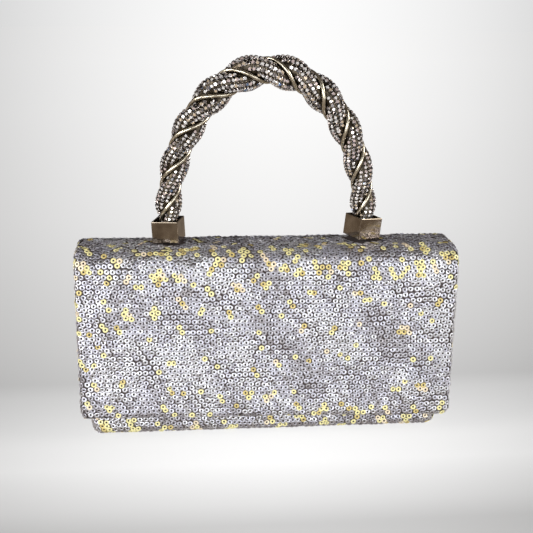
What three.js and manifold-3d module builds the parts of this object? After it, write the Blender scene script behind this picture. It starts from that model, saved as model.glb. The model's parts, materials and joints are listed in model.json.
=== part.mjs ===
// A sequinned evening bag: a stiffened box body, a flap that wraps over its top and front, and a rigid
// twisted handle that stands on the flap in two square metal sockets.
// Millimetres. +Z is up and -Y is the front. The origin is on the table, under the middle of the bag.
import * as THREE from "three";
import { mergeVertices } from "three/addons/utils/BufferGeometryUtils.js";
import Module from "manifold-3d";

const wasm = await Module();
wasm.setup();

// ---------------------------------------------------------------- driving sizes
// Whole bag
const BAG_WIDTH = 220;
const BAG_DEPTH = 38;
const BAG_HEIGHT = 115.4;

// Layers of cloth and board
const COVER_THICKNESS = 1.2;
const WADDING_THICKNESS = 0.8;
const BOARD_THICKNESS = 1.8;
const LINING_THICKNESS = 0.7;
const LAYER_GAP = 0.15;
const FIT_GAP = 0.3;

// Flap
const FLAP_OVERHANG = 5;
const FLAP_LIFT = 13;
const FRONT_EDGE_RADIUS = 12;
const BACK_EDGE_RADIUS = 6;
const CREASE_DROP = 8;
const EDGE_BINDING = 1;
const CLOSED_GAP = 3;

// Body
const CORNER_RADIUS = 7;
const BASE_RADIUS = 5;
const MOUTH_BINDING_HEIGHT = 1.6;
const POCKET_WIDTH = 130;
const POCKET_HEIGHT = 58;
const POCKET_LIFT = 22;
const POCKET_SEAM = 2.5;
const POCKET_EASE = 1.2;

// Magnetic snap
const SNAP_HEIGHT = 36;
const SNAP_RADIUS = 8.5;
const SNAP_SOCKET_THICKNESS = 1.3;
const SNAP_STUD_THICKNESS = 1;
const SNAP_NUB_RADIUS = 2.5;
const SNAP_NUB_LENGTH = 0.9;
const SNAP_HOLE_RADIUS = 3.4;
const SNAP_HOLE_DEPTH = 1;
const SNAP_PLATE_THICKNESS = 0.5;
const SNAP_PRONG_SPACING = 10.4;
const SNAP_PRONG_WIDTH = 3;
const SNAP_PRONG_THICKNESS = 0.7;

// Handle
const HANDLE_SPAN = 114.6;
const HANDLE_RISE = 86;
const HANDLE_SETBACK = 13.5;
const STRAND_RADIUS = 4.8;
const STRAND_OFFSET = 2.6;
const STRAND_GAP = 0.6;
const WIRE_RADIUS = 0.9;
const WIRE_STAND = 0.52;
const CORE_RADIUS = 1.1;
const CORE_GAP = 0.6;
const WIRE_CROSSINGS = 10;
const FIRST_CROSSING = 10;
const ROPE_CLEARANCE = 0.7;
const END_TAPER = 9;
const CROWN_SWELL = 0.3;
const SWELL_POWER = 1.5;
const MOST_TURN_PER_STEP = 0.51;

// Handle sockets and what holds them
const SOCKET_WIDTH = 15.6;
const SOCKET_HEIGHT = 12.6;
const SOCKET_WALL = 0.8;
const SOCKET_BASE = 1.6;
const SOCKET_LEAN = { left: 3, right: 6 };
const SOCKET_YAW = { left: -16, right: 27 };
const PLUG_RADIUS = 4.4;
const PLUG_HEIGHT = 3.2;
const SCREW_RADIUS = 1.5;
const SCREW_HEAD_RADIUS = 4;
const SCREW_HEAD_HEIGHT = 1.5;
const SCREW_BITE = 2.4;
const SCREW_PLAY = 1.4;
const PLATE_THICKNESS = 0.9;
const PLATE_WIDTH = 14;
const PLATE_END = 9;

// ---------------------------------------------------------------- sizes that follow
const HALF_WIDTH = BAG_WIDTH / 2;
const BACK_Y = BAG_DEPTH / 2;
const FRONT_Y = -BAG_DEPTH / 2;
const CREASE_Z = BAG_HEIGHT - CREASE_DROP;

const WADDING_INSET = COVER_THICKNESS + LAYER_GAP;
const FLAP_BOARD_INSET = WADDING_INSET + WADDING_THICKNESS + LAYER_GAP;
const FLAP_LINING_INSET = FLAP_BOARD_INSET + BOARD_THICKNESS + LAYER_GAP;
const FLAP_THICKNESS = FLAP_LINING_INSET + LINING_THICKNESS;

const BODY_HALF_WIDTH = HALF_WIDTH - FLAP_OVERHANG;
const BODY_FRONT_Y = FRONT_Y + FLAP_THICKNESS + CLOSED_GAP;
const BODY_DEPTH = BACK_Y - BODY_FRONT_Y;
const BODY_MIDDLE_Y = (BACK_Y + BODY_FRONT_Y) / 2;
const BODY_BOARD_INSET = COVER_THICKNESS + LAYER_GAP;
const BODY_LINING_INSET = BODY_BOARD_INSET + BOARD_THICKNESS + LAYER_GAP;
const BODY_WALL = BODY_LINING_INSET + LINING_THICKNESS;
const MOUTH_TOP_Z = CREASE_Z - FIT_GAP;
const WALL_TOP_Z = MOUTH_TOP_Z - MOUTH_BINDING_HEIGHT - LAYER_GAP;

const HANDLE_Y = BACK_Y - HANDLE_SETBACK;
const WIRE_OFFSET = Math.sqrt(STRAND_RADIUS ** 2 - STRAND_OFFSET ** 2) + WIRE_STAND;
const WIRE_GROOVE = WIRE_RADIUS + FIT_GAP + 0.05;
const CORE_NOTCH = CORE_RADIUS + CORE_GAP;
const STRAND_FLAT = WIRE_OFFSET - WIRE_GROOVE - CORE_NOTCH;
const TURN_PER_STEP = Math.min(MOST_TURN_PER_STEP, (1.4 * STRAND_GAP) / STRAND_FLAT);
const SOCKET_INSIDE = SOCKET_WIDTH / 2 - SOCKET_WALL;
const END_SCALE = (SOCKET_INSIDE - ROPE_CLEARANCE) / (STRAND_RADIUS + STRAND_OFFSET);
const SOCKET_HALF_DIAGONAL = SOCKET_WIDTH * Math.SQRT1_2;
const MOUTH_Z = BAG_HEIGHT + FIT_GAP + SOCKET_HEIGHT;

// ---------------------------------------------------------------- materials
function finish(color, roughness, metalness = 0) {
  return new THREE.MeshStandardMaterial({ color, roughness, metalness });
}
const SEQUINS = finish(0xc3c2cb, 0.35, 0.5);
const SATIN = finish(0x6e6366, 0.45);
const BOARD = finish(0xb9ad98, 0.9);
const WADDING = finish(0xe6e2da, 1);
const BINDING = finish(0x7b7074, 0.7);
const PAVE = finish(0x6f6658, 0.25, 0.7);
const WIRE = finish(0xb8ad94, 0.2, 1);
const NICKEL = finish(0x8f8578, 0.12, 1);
const STEEL = finish(0x9a9a9c, 0.35, 1);

// ---------------------------------------------------------------- solids
// A closed geometry as a manifold solid.
function solidOf(geometry) {
  const bare = geometry.index ? geometry.toNonIndexed() : geometry.clone();
  bare.deleteAttribute("normal");
  bare.deleteAttribute("uv");
  const merged = mergeVertices(bare, 1e-4);
  return new wasm.Manifold(
    new wasm.Mesh({
      numProp: 3,
      vertProperties: merged.attributes.position.array,
      triVerts: new Uint32Array(merged.index.array),
    }),
  );
}

// A manifold solid back as a three.js geometry.
function geometryOf(solid) {
  const mesh = solid.getMesh();
  const places = new Float32Array(mesh.numVert * 3);
  for (let i = 0; i < mesh.numVert; i++) {
    const start = i * mesh.numProp;
    places.set(mesh.vertProperties.subarray(start, start + 3), i * 3);
  }
  const geometry = new THREE.BufferGeometry();
  geometry.setAttribute("position", new THREE.BufferAttribute(places, 3));
  geometry.setIndex(new THREE.BufferAttribute(mesh.triVerts, 1));
  return geometry;
}

function cut(geometry, ...tools) {
  return geometryOf(tools.reduce((solid, tool) => solid.subtract(solidOf(tool)), solidOf(geometry)));
}

function join(first, ...others) {
  return geometryOf(others.reduce((solid, other) => solid.add(solidOf(other)), solidOf(first)));
}

// A box between two corners.
function box(x0, x1, y0, y1, z0, z1) {
  const geometry = new THREE.BoxGeometry(x1 - x0, y1 - y0, z1 - z0);
  return geometry.translate((x0 + x1) / 2, (y0 + y1) / 2, (z0 + z1) / 2);
}

// A disc or rod that stands upright between two heights.
function uprightRod(radius, x, y, z0, z1, sides = 24) {
  const geometry = new THREE.CylinderGeometry(radius, radius, z1 - z0, sides);
  return geometry.rotateX(Math.PI / 2).translate(x, y, (z0 + z1) / 2);
}

// A disc that faces the front, between two depths.
function frontDisc(radius, x, z, y0, y1, sides = 28) {
  const geometry = new THREE.CylinderGeometry(radius, radius, y1 - y0, sides);
  return geometry.translate(x, (y0 + y1) / 2, z);
}

function named(name, geometry, material) {
  const mesh = new THREE.Mesh(geometry, material);
  mesh.name = name;
  return mesh;
}

// ---------------------------------------------------------------- body
// The body's plan, drawn inset from its outer face.
function bodyPlan(inset) {
  const x = BODY_HALF_WIDTH - inset;
  const y = BODY_DEPTH / 2 - inset;
  const r = CORNER_RADIUS - inset;
  const plan = new THREE.Shape();
  plan.moveTo(x, y - r);
  plan.absarc(x - r, y - r, r, 0, Math.PI / 2);
  plan.absarc(-x + r, y - r, r, Math.PI / 2, Math.PI);
  plan.absarc(-x + r, -y + r, r, Math.PI, 1.5 * Math.PI);
  plan.absarc(x - r, -y + r, r, 1.5 * Math.PI, 2 * Math.PI);
  plan.closePath();
  return plan;
}

// The body's outer form, inset on its sides and base, with a rounded base edge and a flat top.
function bodyBlock(inset, topZ) {
  const radius = BASE_RADIUS - inset;
  const block = new THREE.ExtrudeGeometry(bodyPlan(inset), {
    depth: topZ - inset,
    curveSegments: 3,
    bevelSegments: 3,
    bevelThickness: radius,
    bevelSize: radius,
    bevelOffset: -radius,
  });
  block.translate(0, BODY_MIDDLE_Y, inset + radius);
  const above = box(-BAG_WIDTH, BAG_WIDTH, -BAG_DEPTH, BAG_DEPTH, topZ, topZ + BAG_HEIGHT);
  return cut(block, above);
}

// An open-topped shell of the body.
function bodyShell(inset, thickness) {
  return cut(bodyBlock(inset, WALL_TOP_Z), bodyBlock(inset + thickness, WALL_TOP_Z + BASE_RADIUS));
}

// The two bent prongs of a snap half, which pass through the layers behind it.
function snapProngs(y0, y1, ease = 0) {
  return [-1, 1].map((side) => {
    const x = (side * SNAP_PRONG_SPACING) / 2;
    const halfThickness = SNAP_PRONG_THICKNESS / 2 + ease;
    const halfWidth = SNAP_PRONG_WIDTH / 2 + ease;
    const across = [x - halfThickness, x + halfThickness];
    return box(...across, y0, y1, SNAP_HEIGHT - halfWidth, SNAP_HEIGHT + halfWidth);
  });
}

function bodyBoards() {
  const inner = BODY_BOARD_INSET + BOARD_THICKNESS;
  const frontY = BODY_FRONT_Y + BODY_BOARD_INSET;
  const backY = BACK_Y - BODY_BOARD_INSET;
  const flatX = BODY_HALF_WIDTH - CORNER_RADIUS;
  const sideX = BODY_HALF_WIDTH - BODY_BOARD_INSET;
  const plateSeat = SNAP_PLATE_THICKNESS + FIT_GAP;
  const front = cut(
    box(-flatX, flatX, frontY, frontY + BOARD_THICKNESS, BASE_RADIUS, WALL_TOP_Z),
    frontDisc(SNAP_RADIUS + FIT_GAP, 0, SNAP_HEIGHT, frontY + BOARD_THICKNESS - plateSeat, BACK_Y),
    ...snapProngs(FRONT_Y, BACK_Y, FIT_GAP),
  );
  const back = box(-flatX, flatX, backY - BOARD_THICKNESS, backY, BASE_RADIUS, WALL_TOP_Z);
  const edge = Math.max(BASE_RADIUS, inner + LAYER_GAP);
  const base = box(-flatX, flatX, BODY_FRONT_Y + edge, BACK_Y - edge, BODY_BOARD_INSET, inner);
  const side = (direction) => {
    const x = [direction * sideX, direction * (sideX - BOARD_THICKNESS)].sort((a, b) => a - b);
    return box(x[0], x[1], BODY_FRONT_Y + CORNER_RADIUS, BACK_Y - CORNER_RADIUS, BASE_RADIUS, WALL_TOP_Z);
  };
  return [
    named("body_front_board", front, BOARD),
    named("body_back_board", back, BOARD),
    named("body_base_board", base, BOARD),
    named("body_side_board_left", side(-1), BOARD),
    named("body_side_board_right", side(1), BOARD),
  ];
}

function mouthBinding() {
  const ring = bodyPlan(0);
  ring.holes.push(bodyPlan(BODY_WALL));
  const geometry = new THREE.ExtrudeGeometry(ring, {
    depth: MOUTH_BINDING_HEIGHT,
    curveSegments: 3,
    bevelEnabled: false,
  });
  return geometry.translate(0, BODY_MIDDLE_Y, WALL_TOP_Z + LAYER_GAP);
}

// A flat pocket on the lining of the back wall, open at its top.
function slipPocket() {
  const backY = BACK_Y - BODY_WALL - LAYER_GAP;
  const frontY = backY - POCKET_EASE - LINING_THICKNESS;
  const half = POCKET_WIDTH / 2;
  const top = POCKET_LIFT + POCKET_HEIGHT;
  const block = box(-half, half, frontY, backY, POCKET_LIFT, top);
  const inside = box(
    -half + POCKET_SEAM,
    half - POCKET_SEAM,
    frontY + LINING_THICKNESS,
    backY + LAYER_GAP,
    POCKET_LIFT + POCKET_SEAM,
    top + POCKET_SEAM,
  );
  return cut(block, inside);
}

// The magnet half of the snap, on the body's front face.
function snapSocket() {
  const backY = BODY_FRONT_Y - LAYER_GAP;
  const frontY = backY - SNAP_SOCKET_THICKNESS;
  const prongEnd = BODY_FRONT_Y + BODY_LINING_INSET - LAYER_GAP;
  const disc = join(
    frontDisc(SNAP_RADIUS, 0, SNAP_HEIGHT, frontY, backY),
    ...snapProngs(backY - SNAP_PRONG_THICKNESS / 2, prongEnd),
  );
  const hole = frontDisc(SNAP_HOLE_RADIUS, 0, SNAP_HEIGHT, FRONT_Y, frontY + SNAP_HOLE_DEPTH);
  const bodyPlateBack = BODY_FRONT_Y + BODY_BOARD_INSET + BOARD_THICKNESS;
  const plate = cut(
    frontDisc(SNAP_RADIUS, 0, SNAP_HEIGHT, bodyPlateBack - SNAP_PLATE_THICKNESS, bodyPlateBack),
    ...snapProngs(FRONT_Y, BACK_Y, FIT_GAP / 2),
  );
  return [
    named("snap_socket", cut(disc, hole), NICKEL),
    named("snap_socket_backplate", plate, STEEL),
  ];
}

function bagBody() {
  const group = new THREE.Group();
  const cover = cut(
    bodyShell(0, COVER_THICKNESS),
    ...snapProngs(FRONT_Y, BODY_MIDDLE_Y, FIT_GAP),
  );
  group.add(
    named("body_cover", cover, SEQUINS),
    ...bodyBoards(),
    named("body_lining", bodyShell(BODY_LINING_INSET, LINING_THICKNESS), SATIN),
    named("slip_pocket", slipPocket(), SATIN),
    named("mouth_binding", mouthBinding(), BINDING),
    ...snapSocket(),
  );
  return group;
}

// ---------------------------------------------------------------- flap
// The flap's section from the crease over the top and down the front, between two depths below its
// outer face. endLift shortens it at the crease and at the lower edge.
function flapBand(outer, inner, halfWidth, endLift) {
  const startZ = CREASE_Z + FIT_GAP + endLift;
  const endZ = FLAP_LIFT + endLift;
  const backX = BACK_Y - BACK_EDGE_RADIUS;
  const backZ = BAG_HEIGHT - BACK_EDGE_RADIUS;
  const frontX = FRONT_Y + FRONT_EDGE_RADIUS;
  const frontZ = BAG_HEIGHT - FRONT_EDGE_RADIUS;
  const section = new THREE.Shape();
  section.moveTo(BACK_Y - outer, Math.min(startZ, backZ));
  section.absarc(backX, backZ, BACK_EDGE_RADIUS - outer, 0, Math.PI / 2);
  section.absarc(frontX, frontZ, FRONT_EDGE_RADIUS - outer, Math.PI / 2, Math.PI);
  section.lineTo(FRONT_Y + outer, endZ);
  section.lineTo(FRONT_Y + inner, endZ);
  section.absarc(frontX, frontZ, FRONT_EDGE_RADIUS - inner, Math.PI, Math.PI / 2, true);
  section.absarc(backX, backZ, BACK_EDGE_RADIUS - inner, Math.PI / 2, 0, true);
  section.lineTo(BACK_Y - inner, Math.min(startZ, backZ));
  section.closePath();
  const geometry = new THREE.ExtrudeGeometry(section, {
    depth: 2 * halfWidth,
    curveSegments: 4,
    bevelEnabled: false,
  });
  const sideways = new THREE.Matrix4().makeBasis(
    new THREE.Vector3(0, 1, 0),
    new THREE.Vector3(0, 0, 1),
    new THREE.Vector3(1, 0, 0),
  );
  return geometry.applyMatrix4(sideways).translate(-halfWidth, 0, 0);
}

// The holes that the two handle screws pass through.
function screwHoles() {
  const radius = SCREW_RADIUS + FIT_GAP;
  return [-1, 1].map((side) =>
    uprightRod(radius, (side * HANDLE_SPAN) / 2, HANDLE_Y, CREASE_Z, BAG_HEIGHT + SOCKET_HEIGHT, 16),
  );
}

function platePlace(ease = 0) {
  const topZ = BAG_HEIGHT - FLAP_LINING_INSET + LAYER_GAP + PLATE_THICKNESS;
  const halfLength = HANDLE_SPAN / 2 + PLATE_END + ease;
  const halfWidth = PLATE_WIDTH / 2 + ease;
  return box(
    -halfLength,
    halfLength,
    HANDLE_Y - halfWidth,
    HANDLE_Y + halfWidth,
    topZ - PLATE_THICKNESS - ease,
    topZ + ease,
  );
}

function flapBoards() {
  const margin = EDGE_BINDING + LAYER_GAP;
  const halfWidth = HALF_WIDTH - margin;
  const topZ = BAG_HEIGHT - FLAP_BOARD_INSET;
  const top = cut(
    box(
      -halfWidth,
      halfWidth,
      FRONT_Y + FRONT_EDGE_RADIUS,
      BACK_Y - BACK_EDGE_RADIUS,
      topZ - BOARD_THICKNESS,
      topZ,
    ),
    platePlace(LAYER_GAP),
    ...screwHoles(),
  );
  const frontY = FRONT_Y + FLAP_BOARD_INSET;
  const seat = frontY + SNAP_PLATE_THICKNESS + FIT_GAP;
  const front = cut(
    box(
      -halfWidth,
      halfWidth,
      frontY,
      frontY + BOARD_THICKNESS,
      FLAP_LIFT + margin,
      BAG_HEIGHT - FRONT_EDGE_RADIUS,
    ),
    frontDisc(SNAP_RADIUS + FIT_GAP, 0, SNAP_HEIGHT, FRONT_Y, seat),
    ...snapProngs(FRONT_Y, BODY_FRONT_Y, FIT_GAP),
  );
  return [named("flap_top_board", top, BOARD), named("flap_front_board", front, BOARD)];
}

// A turned edge round the flap's two sides and its lower end.
function flapEdgeBinding() {
  const side = flapBand(0, FLAP_THICKNESS, EDGE_BINDING / 2, 0);
  const middle = HALF_WIDTH - EDGE_BINDING / 2;
  const lower = box(
    -HALF_WIDTH + EDGE_BINDING / 2,
    HALF_WIDTH - EDGE_BINDING / 2,
    FRONT_Y,
    FRONT_Y + FLAP_THICKNESS,
    FLAP_LIFT,
    FLAP_LIFT + EDGE_BINDING,
  );
  return join(side.clone().translate(-middle, 0, 0), side.clone().translate(middle, 0, 0), lower);
}

// The striker half of the snap, on the flap's lining.
function snapStud() {
  const frontY = FRONT_Y + FLAP_THICKNESS + LAYER_GAP;
  const backY = frontY + SNAP_STUD_THICKNESS;
  const prongEnd = FRONT_Y + FLAP_BOARD_INSET;
  const stud = join(
    frontDisc(SNAP_RADIUS, 0, SNAP_HEIGHT, frontY, backY),
    frontDisc(SNAP_NUB_RADIUS, 0, SNAP_HEIGHT, backY - SNAP_STUD_THICKNESS / 2, backY + SNAP_NUB_LENGTH),
    ...snapProngs(prongEnd, frontY + SNAP_PRONG_THICKNESS / 2),
  );
  const plate = cut(
    frontDisc(SNAP_RADIUS, 0, SNAP_HEIGHT, prongEnd, prongEnd + SNAP_PLATE_THICKNESS),
    ...snapProngs(FRONT_Y, BODY_FRONT_Y, FIT_GAP / 2),
  );
  return [named("snap_stud", stud, NICKEL), named("snap_stud_backplate", plate, STEEL)];
}

function flap() {
  const margin = EDGE_BINDING + LAYER_GAP;
  const halfWidth = HALF_WIDTH - margin;
  const waddingInner = WADDING_INSET + WADDING_THICKNESS;
  const cover = cut(flapBand(0, COVER_THICKNESS, halfWidth, margin), ...screwHoles());
  const wadding = cut(flapBand(WADDING_INSET, waddingInner, halfWidth, margin), ...screwHoles());
  const lining = cut(
    flapBand(FLAP_LINING_INSET, FLAP_THICKNESS, halfWidth, margin),
    ...screwHoles(),
    ...snapProngs(FRONT_Y, BODY_FRONT_Y, FIT_GAP),
  );
  const group = new THREE.Group();
  group.add(
    named("flap_cover", cover, SEQUINS),
    named("flap_wadding", wadding, WADDING),
    ...flapBoards(),
    named("flap_lining", lining, SATIN),
    named("flap_edge_binding", flapEdgeBinding(), BINDING),
    named("handle_plate", cut(platePlace(), ...screwHoles()), STEEL),
    ...snapStud(),
  );
  return group;
}

// ---------------------------------------------------------------- handle
// How far a leaning part of the given reach has to be raised to stay clear below.
function leanLift(reach, lean) {
  return FIT_GAP + reach * Math.sin(THREE.MathUtils.degToRad(lean));
}

function socketBaseZ(side) {
  return BAG_HEIGHT + leanLift(SOCKET_HALF_DIAGONAL, SOCKET_LEAN[side]);
}

function plugBottomZ(side) {
  return socketBaseZ(side) + SOCKET_BASE + leanLift(PLUG_RADIUS, SOCKET_LEAN[side]);
}

function legEndZ(side) {
  return plugBottomZ(side) + PLUG_HEIGHT + FIT_GAP;
}

// Half an ellipse that stands on the two socket mouths.
class ArchCurve extends THREE.Curve {
  getPoint(t, target = new THREE.Vector3()) {
    const angle = Math.PI * (1 - t);
    const x = (HANDLE_SPAN / 2) * Math.cos(angle);
    return target.set(x, HANDLE_Y, MOUTH_Z + HANDLE_RISE * Math.sin(angle));
  }
}

// The handle's centre line: up the left leg, over the arch and down the right leg.
function handlePath() {
  const x = HANDLE_SPAN / 2;
  const path = new THREE.CurvePath();
  path.add(
    new THREE.LineCurve3(
      new THREE.Vector3(-x, HANDLE_Y, legEndZ("left")),
      new THREE.Vector3(-x, HANDLE_Y, MOUTH_Z),
    ),
  );
  path.add(new ArchCurve());
  path.add(
    new THREE.LineCurve3(
      new THREE.Vector3(x, HANDLE_Y, MOUTH_Z),
      new THREE.Vector3(x, HANDLE_Y, legEndZ("right")),
    ),
  );
  return path;
}

// The rope's size at a distance along its arch, as a multiple of its size in the legs.
function ropeScale(distance, archLength) {
  const toEnd = THREE.MathUtils.clamp(Math.min(distance, archLength - distance), 0, archLength);
  const ending = END_SCALE + (1 - END_SCALE) * THREE.MathUtils.smoothstep(toEnd, 0, END_TAPER);
  const along = THREE.MathUtils.clamp(distance / archLength, 0, 1);
  return ending + CROWN_SWELL * Math.sin(Math.PI * along) ** SWELL_POWER;
}

// Lays a section along the handle's path, turning and swelling it as the rope does. A wider flat
// between the strands takes shorter steps, so that the two warped flats stay clear of each other.
function alongHandle(section, twisted = true) {
  const path = handlePath();
  const length = path.getLength();
  const leftLeg = path.curves[0].getLength();
  const archLength = path.curves[1].getLength();
  const halfPitch = (archLength - 2 * FIRST_CROSSING) / (WIRE_CROSSINGS - 1);
  const steps = Math.ceil((Math.PI * length) / halfPitch / TURN_PER_STEP);
  const geometry = new THREE.ExtrudeGeometry(section, { depth: length, steps, bevelEnabled: false });
  const places = geometry.attributes.position;
  const front = new THREE.Vector3(0, -1, 0);
  for (let i = 0; i < places.count; i++) {
    const t = THREE.MathUtils.clamp(places.getZ(i) / length, 0, 1);
    const distance = t * length - leftLeg;
    const turn = twisted ? (Math.PI * (distance - FIRST_CROSSING)) / halfPitch : 0;
    const flat = new THREE.Vector2(places.getX(i), places.getY(i));
    flat.rotateAround(new THREE.Vector2(), turn).multiplyScalar(ropeScale(distance, archLength));
    const tangent = path.getTangent(t);
    const side = new THREE.Vector3().crossVectors(front, tangent).normalize();
    const place = path.getPoint(t).addScaledVector(side, flat.x).addScaledVector(front, flat.y);
    places.setXYZ(i, place.x, place.y, place.z);
  }
  return geometry;
}

// Points on a round stretch of an outline.
function arc(x, y, radius, from, to, count) {
  const clockwise = to < from;
  return new THREE.EllipseCurve(x, y, radius, radius, from, to, clockwise).getPoints(count);
}

// A triangle's angle between its sides a and b, opposite its side c.
function cornerAngle(a, b, c) {
  return Math.acos((a ** 2 + b ** 2 - c ** 2) / (2 * a * b));
}

// One strand's section: a round cut flat against its twin, grooved for both wires and for the core.
function strandSection() {
  const flatX = STRAND_GAP / 2;
  const reach = Math.hypot(STRAND_OFFSET, WIRE_OFFSET);
  const toWire = Math.atan2(WIRE_OFFSET, -STRAND_OFFSET);
  const strandHalf = cornerAngle(STRAND_RADIUS, reach, WIRE_GROOVE);
  const grooveHalf = cornerAngle(WIRE_GROOVE, reach, STRAND_RADIUS);
  const outerEnd = toWire - strandHalf;
  const grooveStart = Math.atan2(-WIRE_OFFSET, STRAND_OFFSET) + grooveHalf;
  const grooveEnd = -Math.acos(flatX / WIRE_GROOVE);
  const notchEnd = Math.acos(flatX / CORE_NOTCH);
  return new THREE.Shape([
    ...arc(STRAND_OFFSET, 0, STRAND_RADIUS, -outerEnd, outerEnd, 9).slice(0, -1),
    ...arc(0, WIRE_OFFSET, WIRE_GROOVE, grooveStart, grooveEnd, 2),
    ...arc(0, 0, CORE_NOTCH, notchEnd, -notchEnd, 3),
    ...arc(0, -WIRE_OFFSET, WIRE_GROOVE, -grooveEnd, -grooveStart, 2).slice(0, -1),
  ]);
}

// A round section, set off to one side of the rope's centre.
function roundSection(radius, offset, sides) {
  return new THREE.Shape(arc(0, offset, radius, 0, 2 * Math.PI, sides).slice(0, -1));
}

function handleRope() {
  const strand = strandSection();
  const twin = new THREE.Shape(strand.getPoints().map((point) => point.clone().negate()));
  return [
    named("handle_strand_a", alongHandle(strand), PAVE),
    named("handle_strand_b", alongHandle(twin), PAVE),
    named("groove_wire_a", alongHandle(roundSection(WIRE_RADIUS, WIRE_OFFSET, 7)), WIRE),
    named("groove_wire_b", alongHandle(roundSection(WIRE_RADIUS, -WIRE_OFFSET, 7)), WIRE),
    named("handle_core", alongHandle(roundSection(CORE_RADIUS, 0, 6), false), STEEL),
  ];
}

// A square cup, drawn about its own upright axis with its base at zero.
function socketCup() {
  const half = SOCKET_WIDTH / 2;
  const inside = SOCKET_INSIDE;
  return cut(
    box(-half, half, -half, half, 0, SOCKET_HEIGHT),
    box(-inside, inside, -inside, inside, SOCKET_BASE, 2 * SOCKET_HEIGHT),
    uprightRod(SCREW_RADIUS + SCREW_PLAY, 0, 0, -SOCKET_BASE, 2 * SOCKET_BASE, 16),
  );
}

// One end of the handle: the cup, the threaded plug inside it and the screw from under the flap.
function handleEnd(side) {
  const direction = side === "left" ? -1 : 1;
  const legX = (direction * HANDLE_SPAN) / 2;
  const lean = THREE.MathUtils.degToRad(SOCKET_LEAN[side]);
  const cup = named("handle_socket_" + side, socketCup(), NICKEL);
  cup.rotation.set(0, direction * lean, THREE.MathUtils.degToRad(SOCKET_YAW[side]), "YZX");
  cup.position.set(
    legX - direction * (SOCKET_HEIGHT / 2) * Math.sin(lean),
    HANDLE_Y,
    socketBaseZ(side),
  );
  const plugZ = plugBottomZ(side);
  const plug = cut(
    uprightRod(PLUG_RADIUS, legX, HANDLE_Y, plugZ, plugZ + PLUG_HEIGHT),
    uprightRod(SCREW_RADIUS + LAYER_GAP, legX, HANDLE_Y, BAG_HEIGHT, plugZ + SCREW_BITE + LAYER_GAP, 16),
  );
  const headTop = BAG_HEIGHT - FLAP_THICKNESS - LAYER_GAP;
  const screw = join(
    uprightRod(SCREW_HEAD_RADIUS, legX, HANDLE_Y, headTop - SCREW_HEAD_HEIGHT, headTop),
    uprightRod(SCREW_RADIUS, legX, HANDLE_Y, headTop - SCREW_HEAD_HEIGHT / 2, plugZ + SCREW_BITE, 16),
  );
  return [
    cup,
    named("handle_plug_" + side, plug, STEEL),
    named("handle_screw_" + side, screw, STEEL),
  ];
}

function handle() {
  const group = new THREE.Group();
  group.add(...handleRope(), ...handleEnd("left"), ...handleEnd("right"));
  return group;
}

const eveningBag = new THREE.Group();
eveningBag.add(bagBody(), flap(), handle());

export default eveningBag;
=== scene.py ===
"""A small box-shaped evening bag in sequin cloth, with a twisted stone-set handle on two metal sockets.

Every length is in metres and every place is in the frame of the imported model: the bag stands on z = 0
with its flap to -Y and its width along X.
"""

import json
import logging
import math
from dataclasses import dataclass, field
from enum import Enum
from typing import Callable, Sequence

import bpy
import numpy as np
from mathutils import Matrix, Quaternion, Vector


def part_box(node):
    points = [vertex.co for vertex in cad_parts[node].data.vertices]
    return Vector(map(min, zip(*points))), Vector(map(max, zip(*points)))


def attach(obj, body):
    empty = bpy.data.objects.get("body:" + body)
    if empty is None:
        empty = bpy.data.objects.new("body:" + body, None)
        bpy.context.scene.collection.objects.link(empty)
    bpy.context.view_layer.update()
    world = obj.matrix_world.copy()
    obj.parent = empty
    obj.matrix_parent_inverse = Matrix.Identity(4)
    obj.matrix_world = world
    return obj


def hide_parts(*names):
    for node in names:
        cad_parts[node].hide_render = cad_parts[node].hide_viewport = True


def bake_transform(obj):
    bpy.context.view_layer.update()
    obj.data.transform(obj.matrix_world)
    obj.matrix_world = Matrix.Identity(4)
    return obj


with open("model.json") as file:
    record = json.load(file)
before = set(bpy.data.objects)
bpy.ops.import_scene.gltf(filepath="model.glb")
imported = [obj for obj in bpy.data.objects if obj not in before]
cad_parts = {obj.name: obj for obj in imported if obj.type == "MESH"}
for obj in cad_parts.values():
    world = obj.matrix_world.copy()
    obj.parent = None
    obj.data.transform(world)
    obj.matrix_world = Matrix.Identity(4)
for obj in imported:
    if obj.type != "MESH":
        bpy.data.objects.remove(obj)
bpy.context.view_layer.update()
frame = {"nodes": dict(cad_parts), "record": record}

MM = 0.001
SETTLING_FRAMES = 20

Piece = bpy.types.Object
Finish = bpy.types.Material
Array = np.ndarray
Chance = np.random.Generator
Colour = tuple[float, float, float]
LOG = logging.getLogger("evening_bag")


# ---- Modelling by hand: one picked piece at a time


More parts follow.
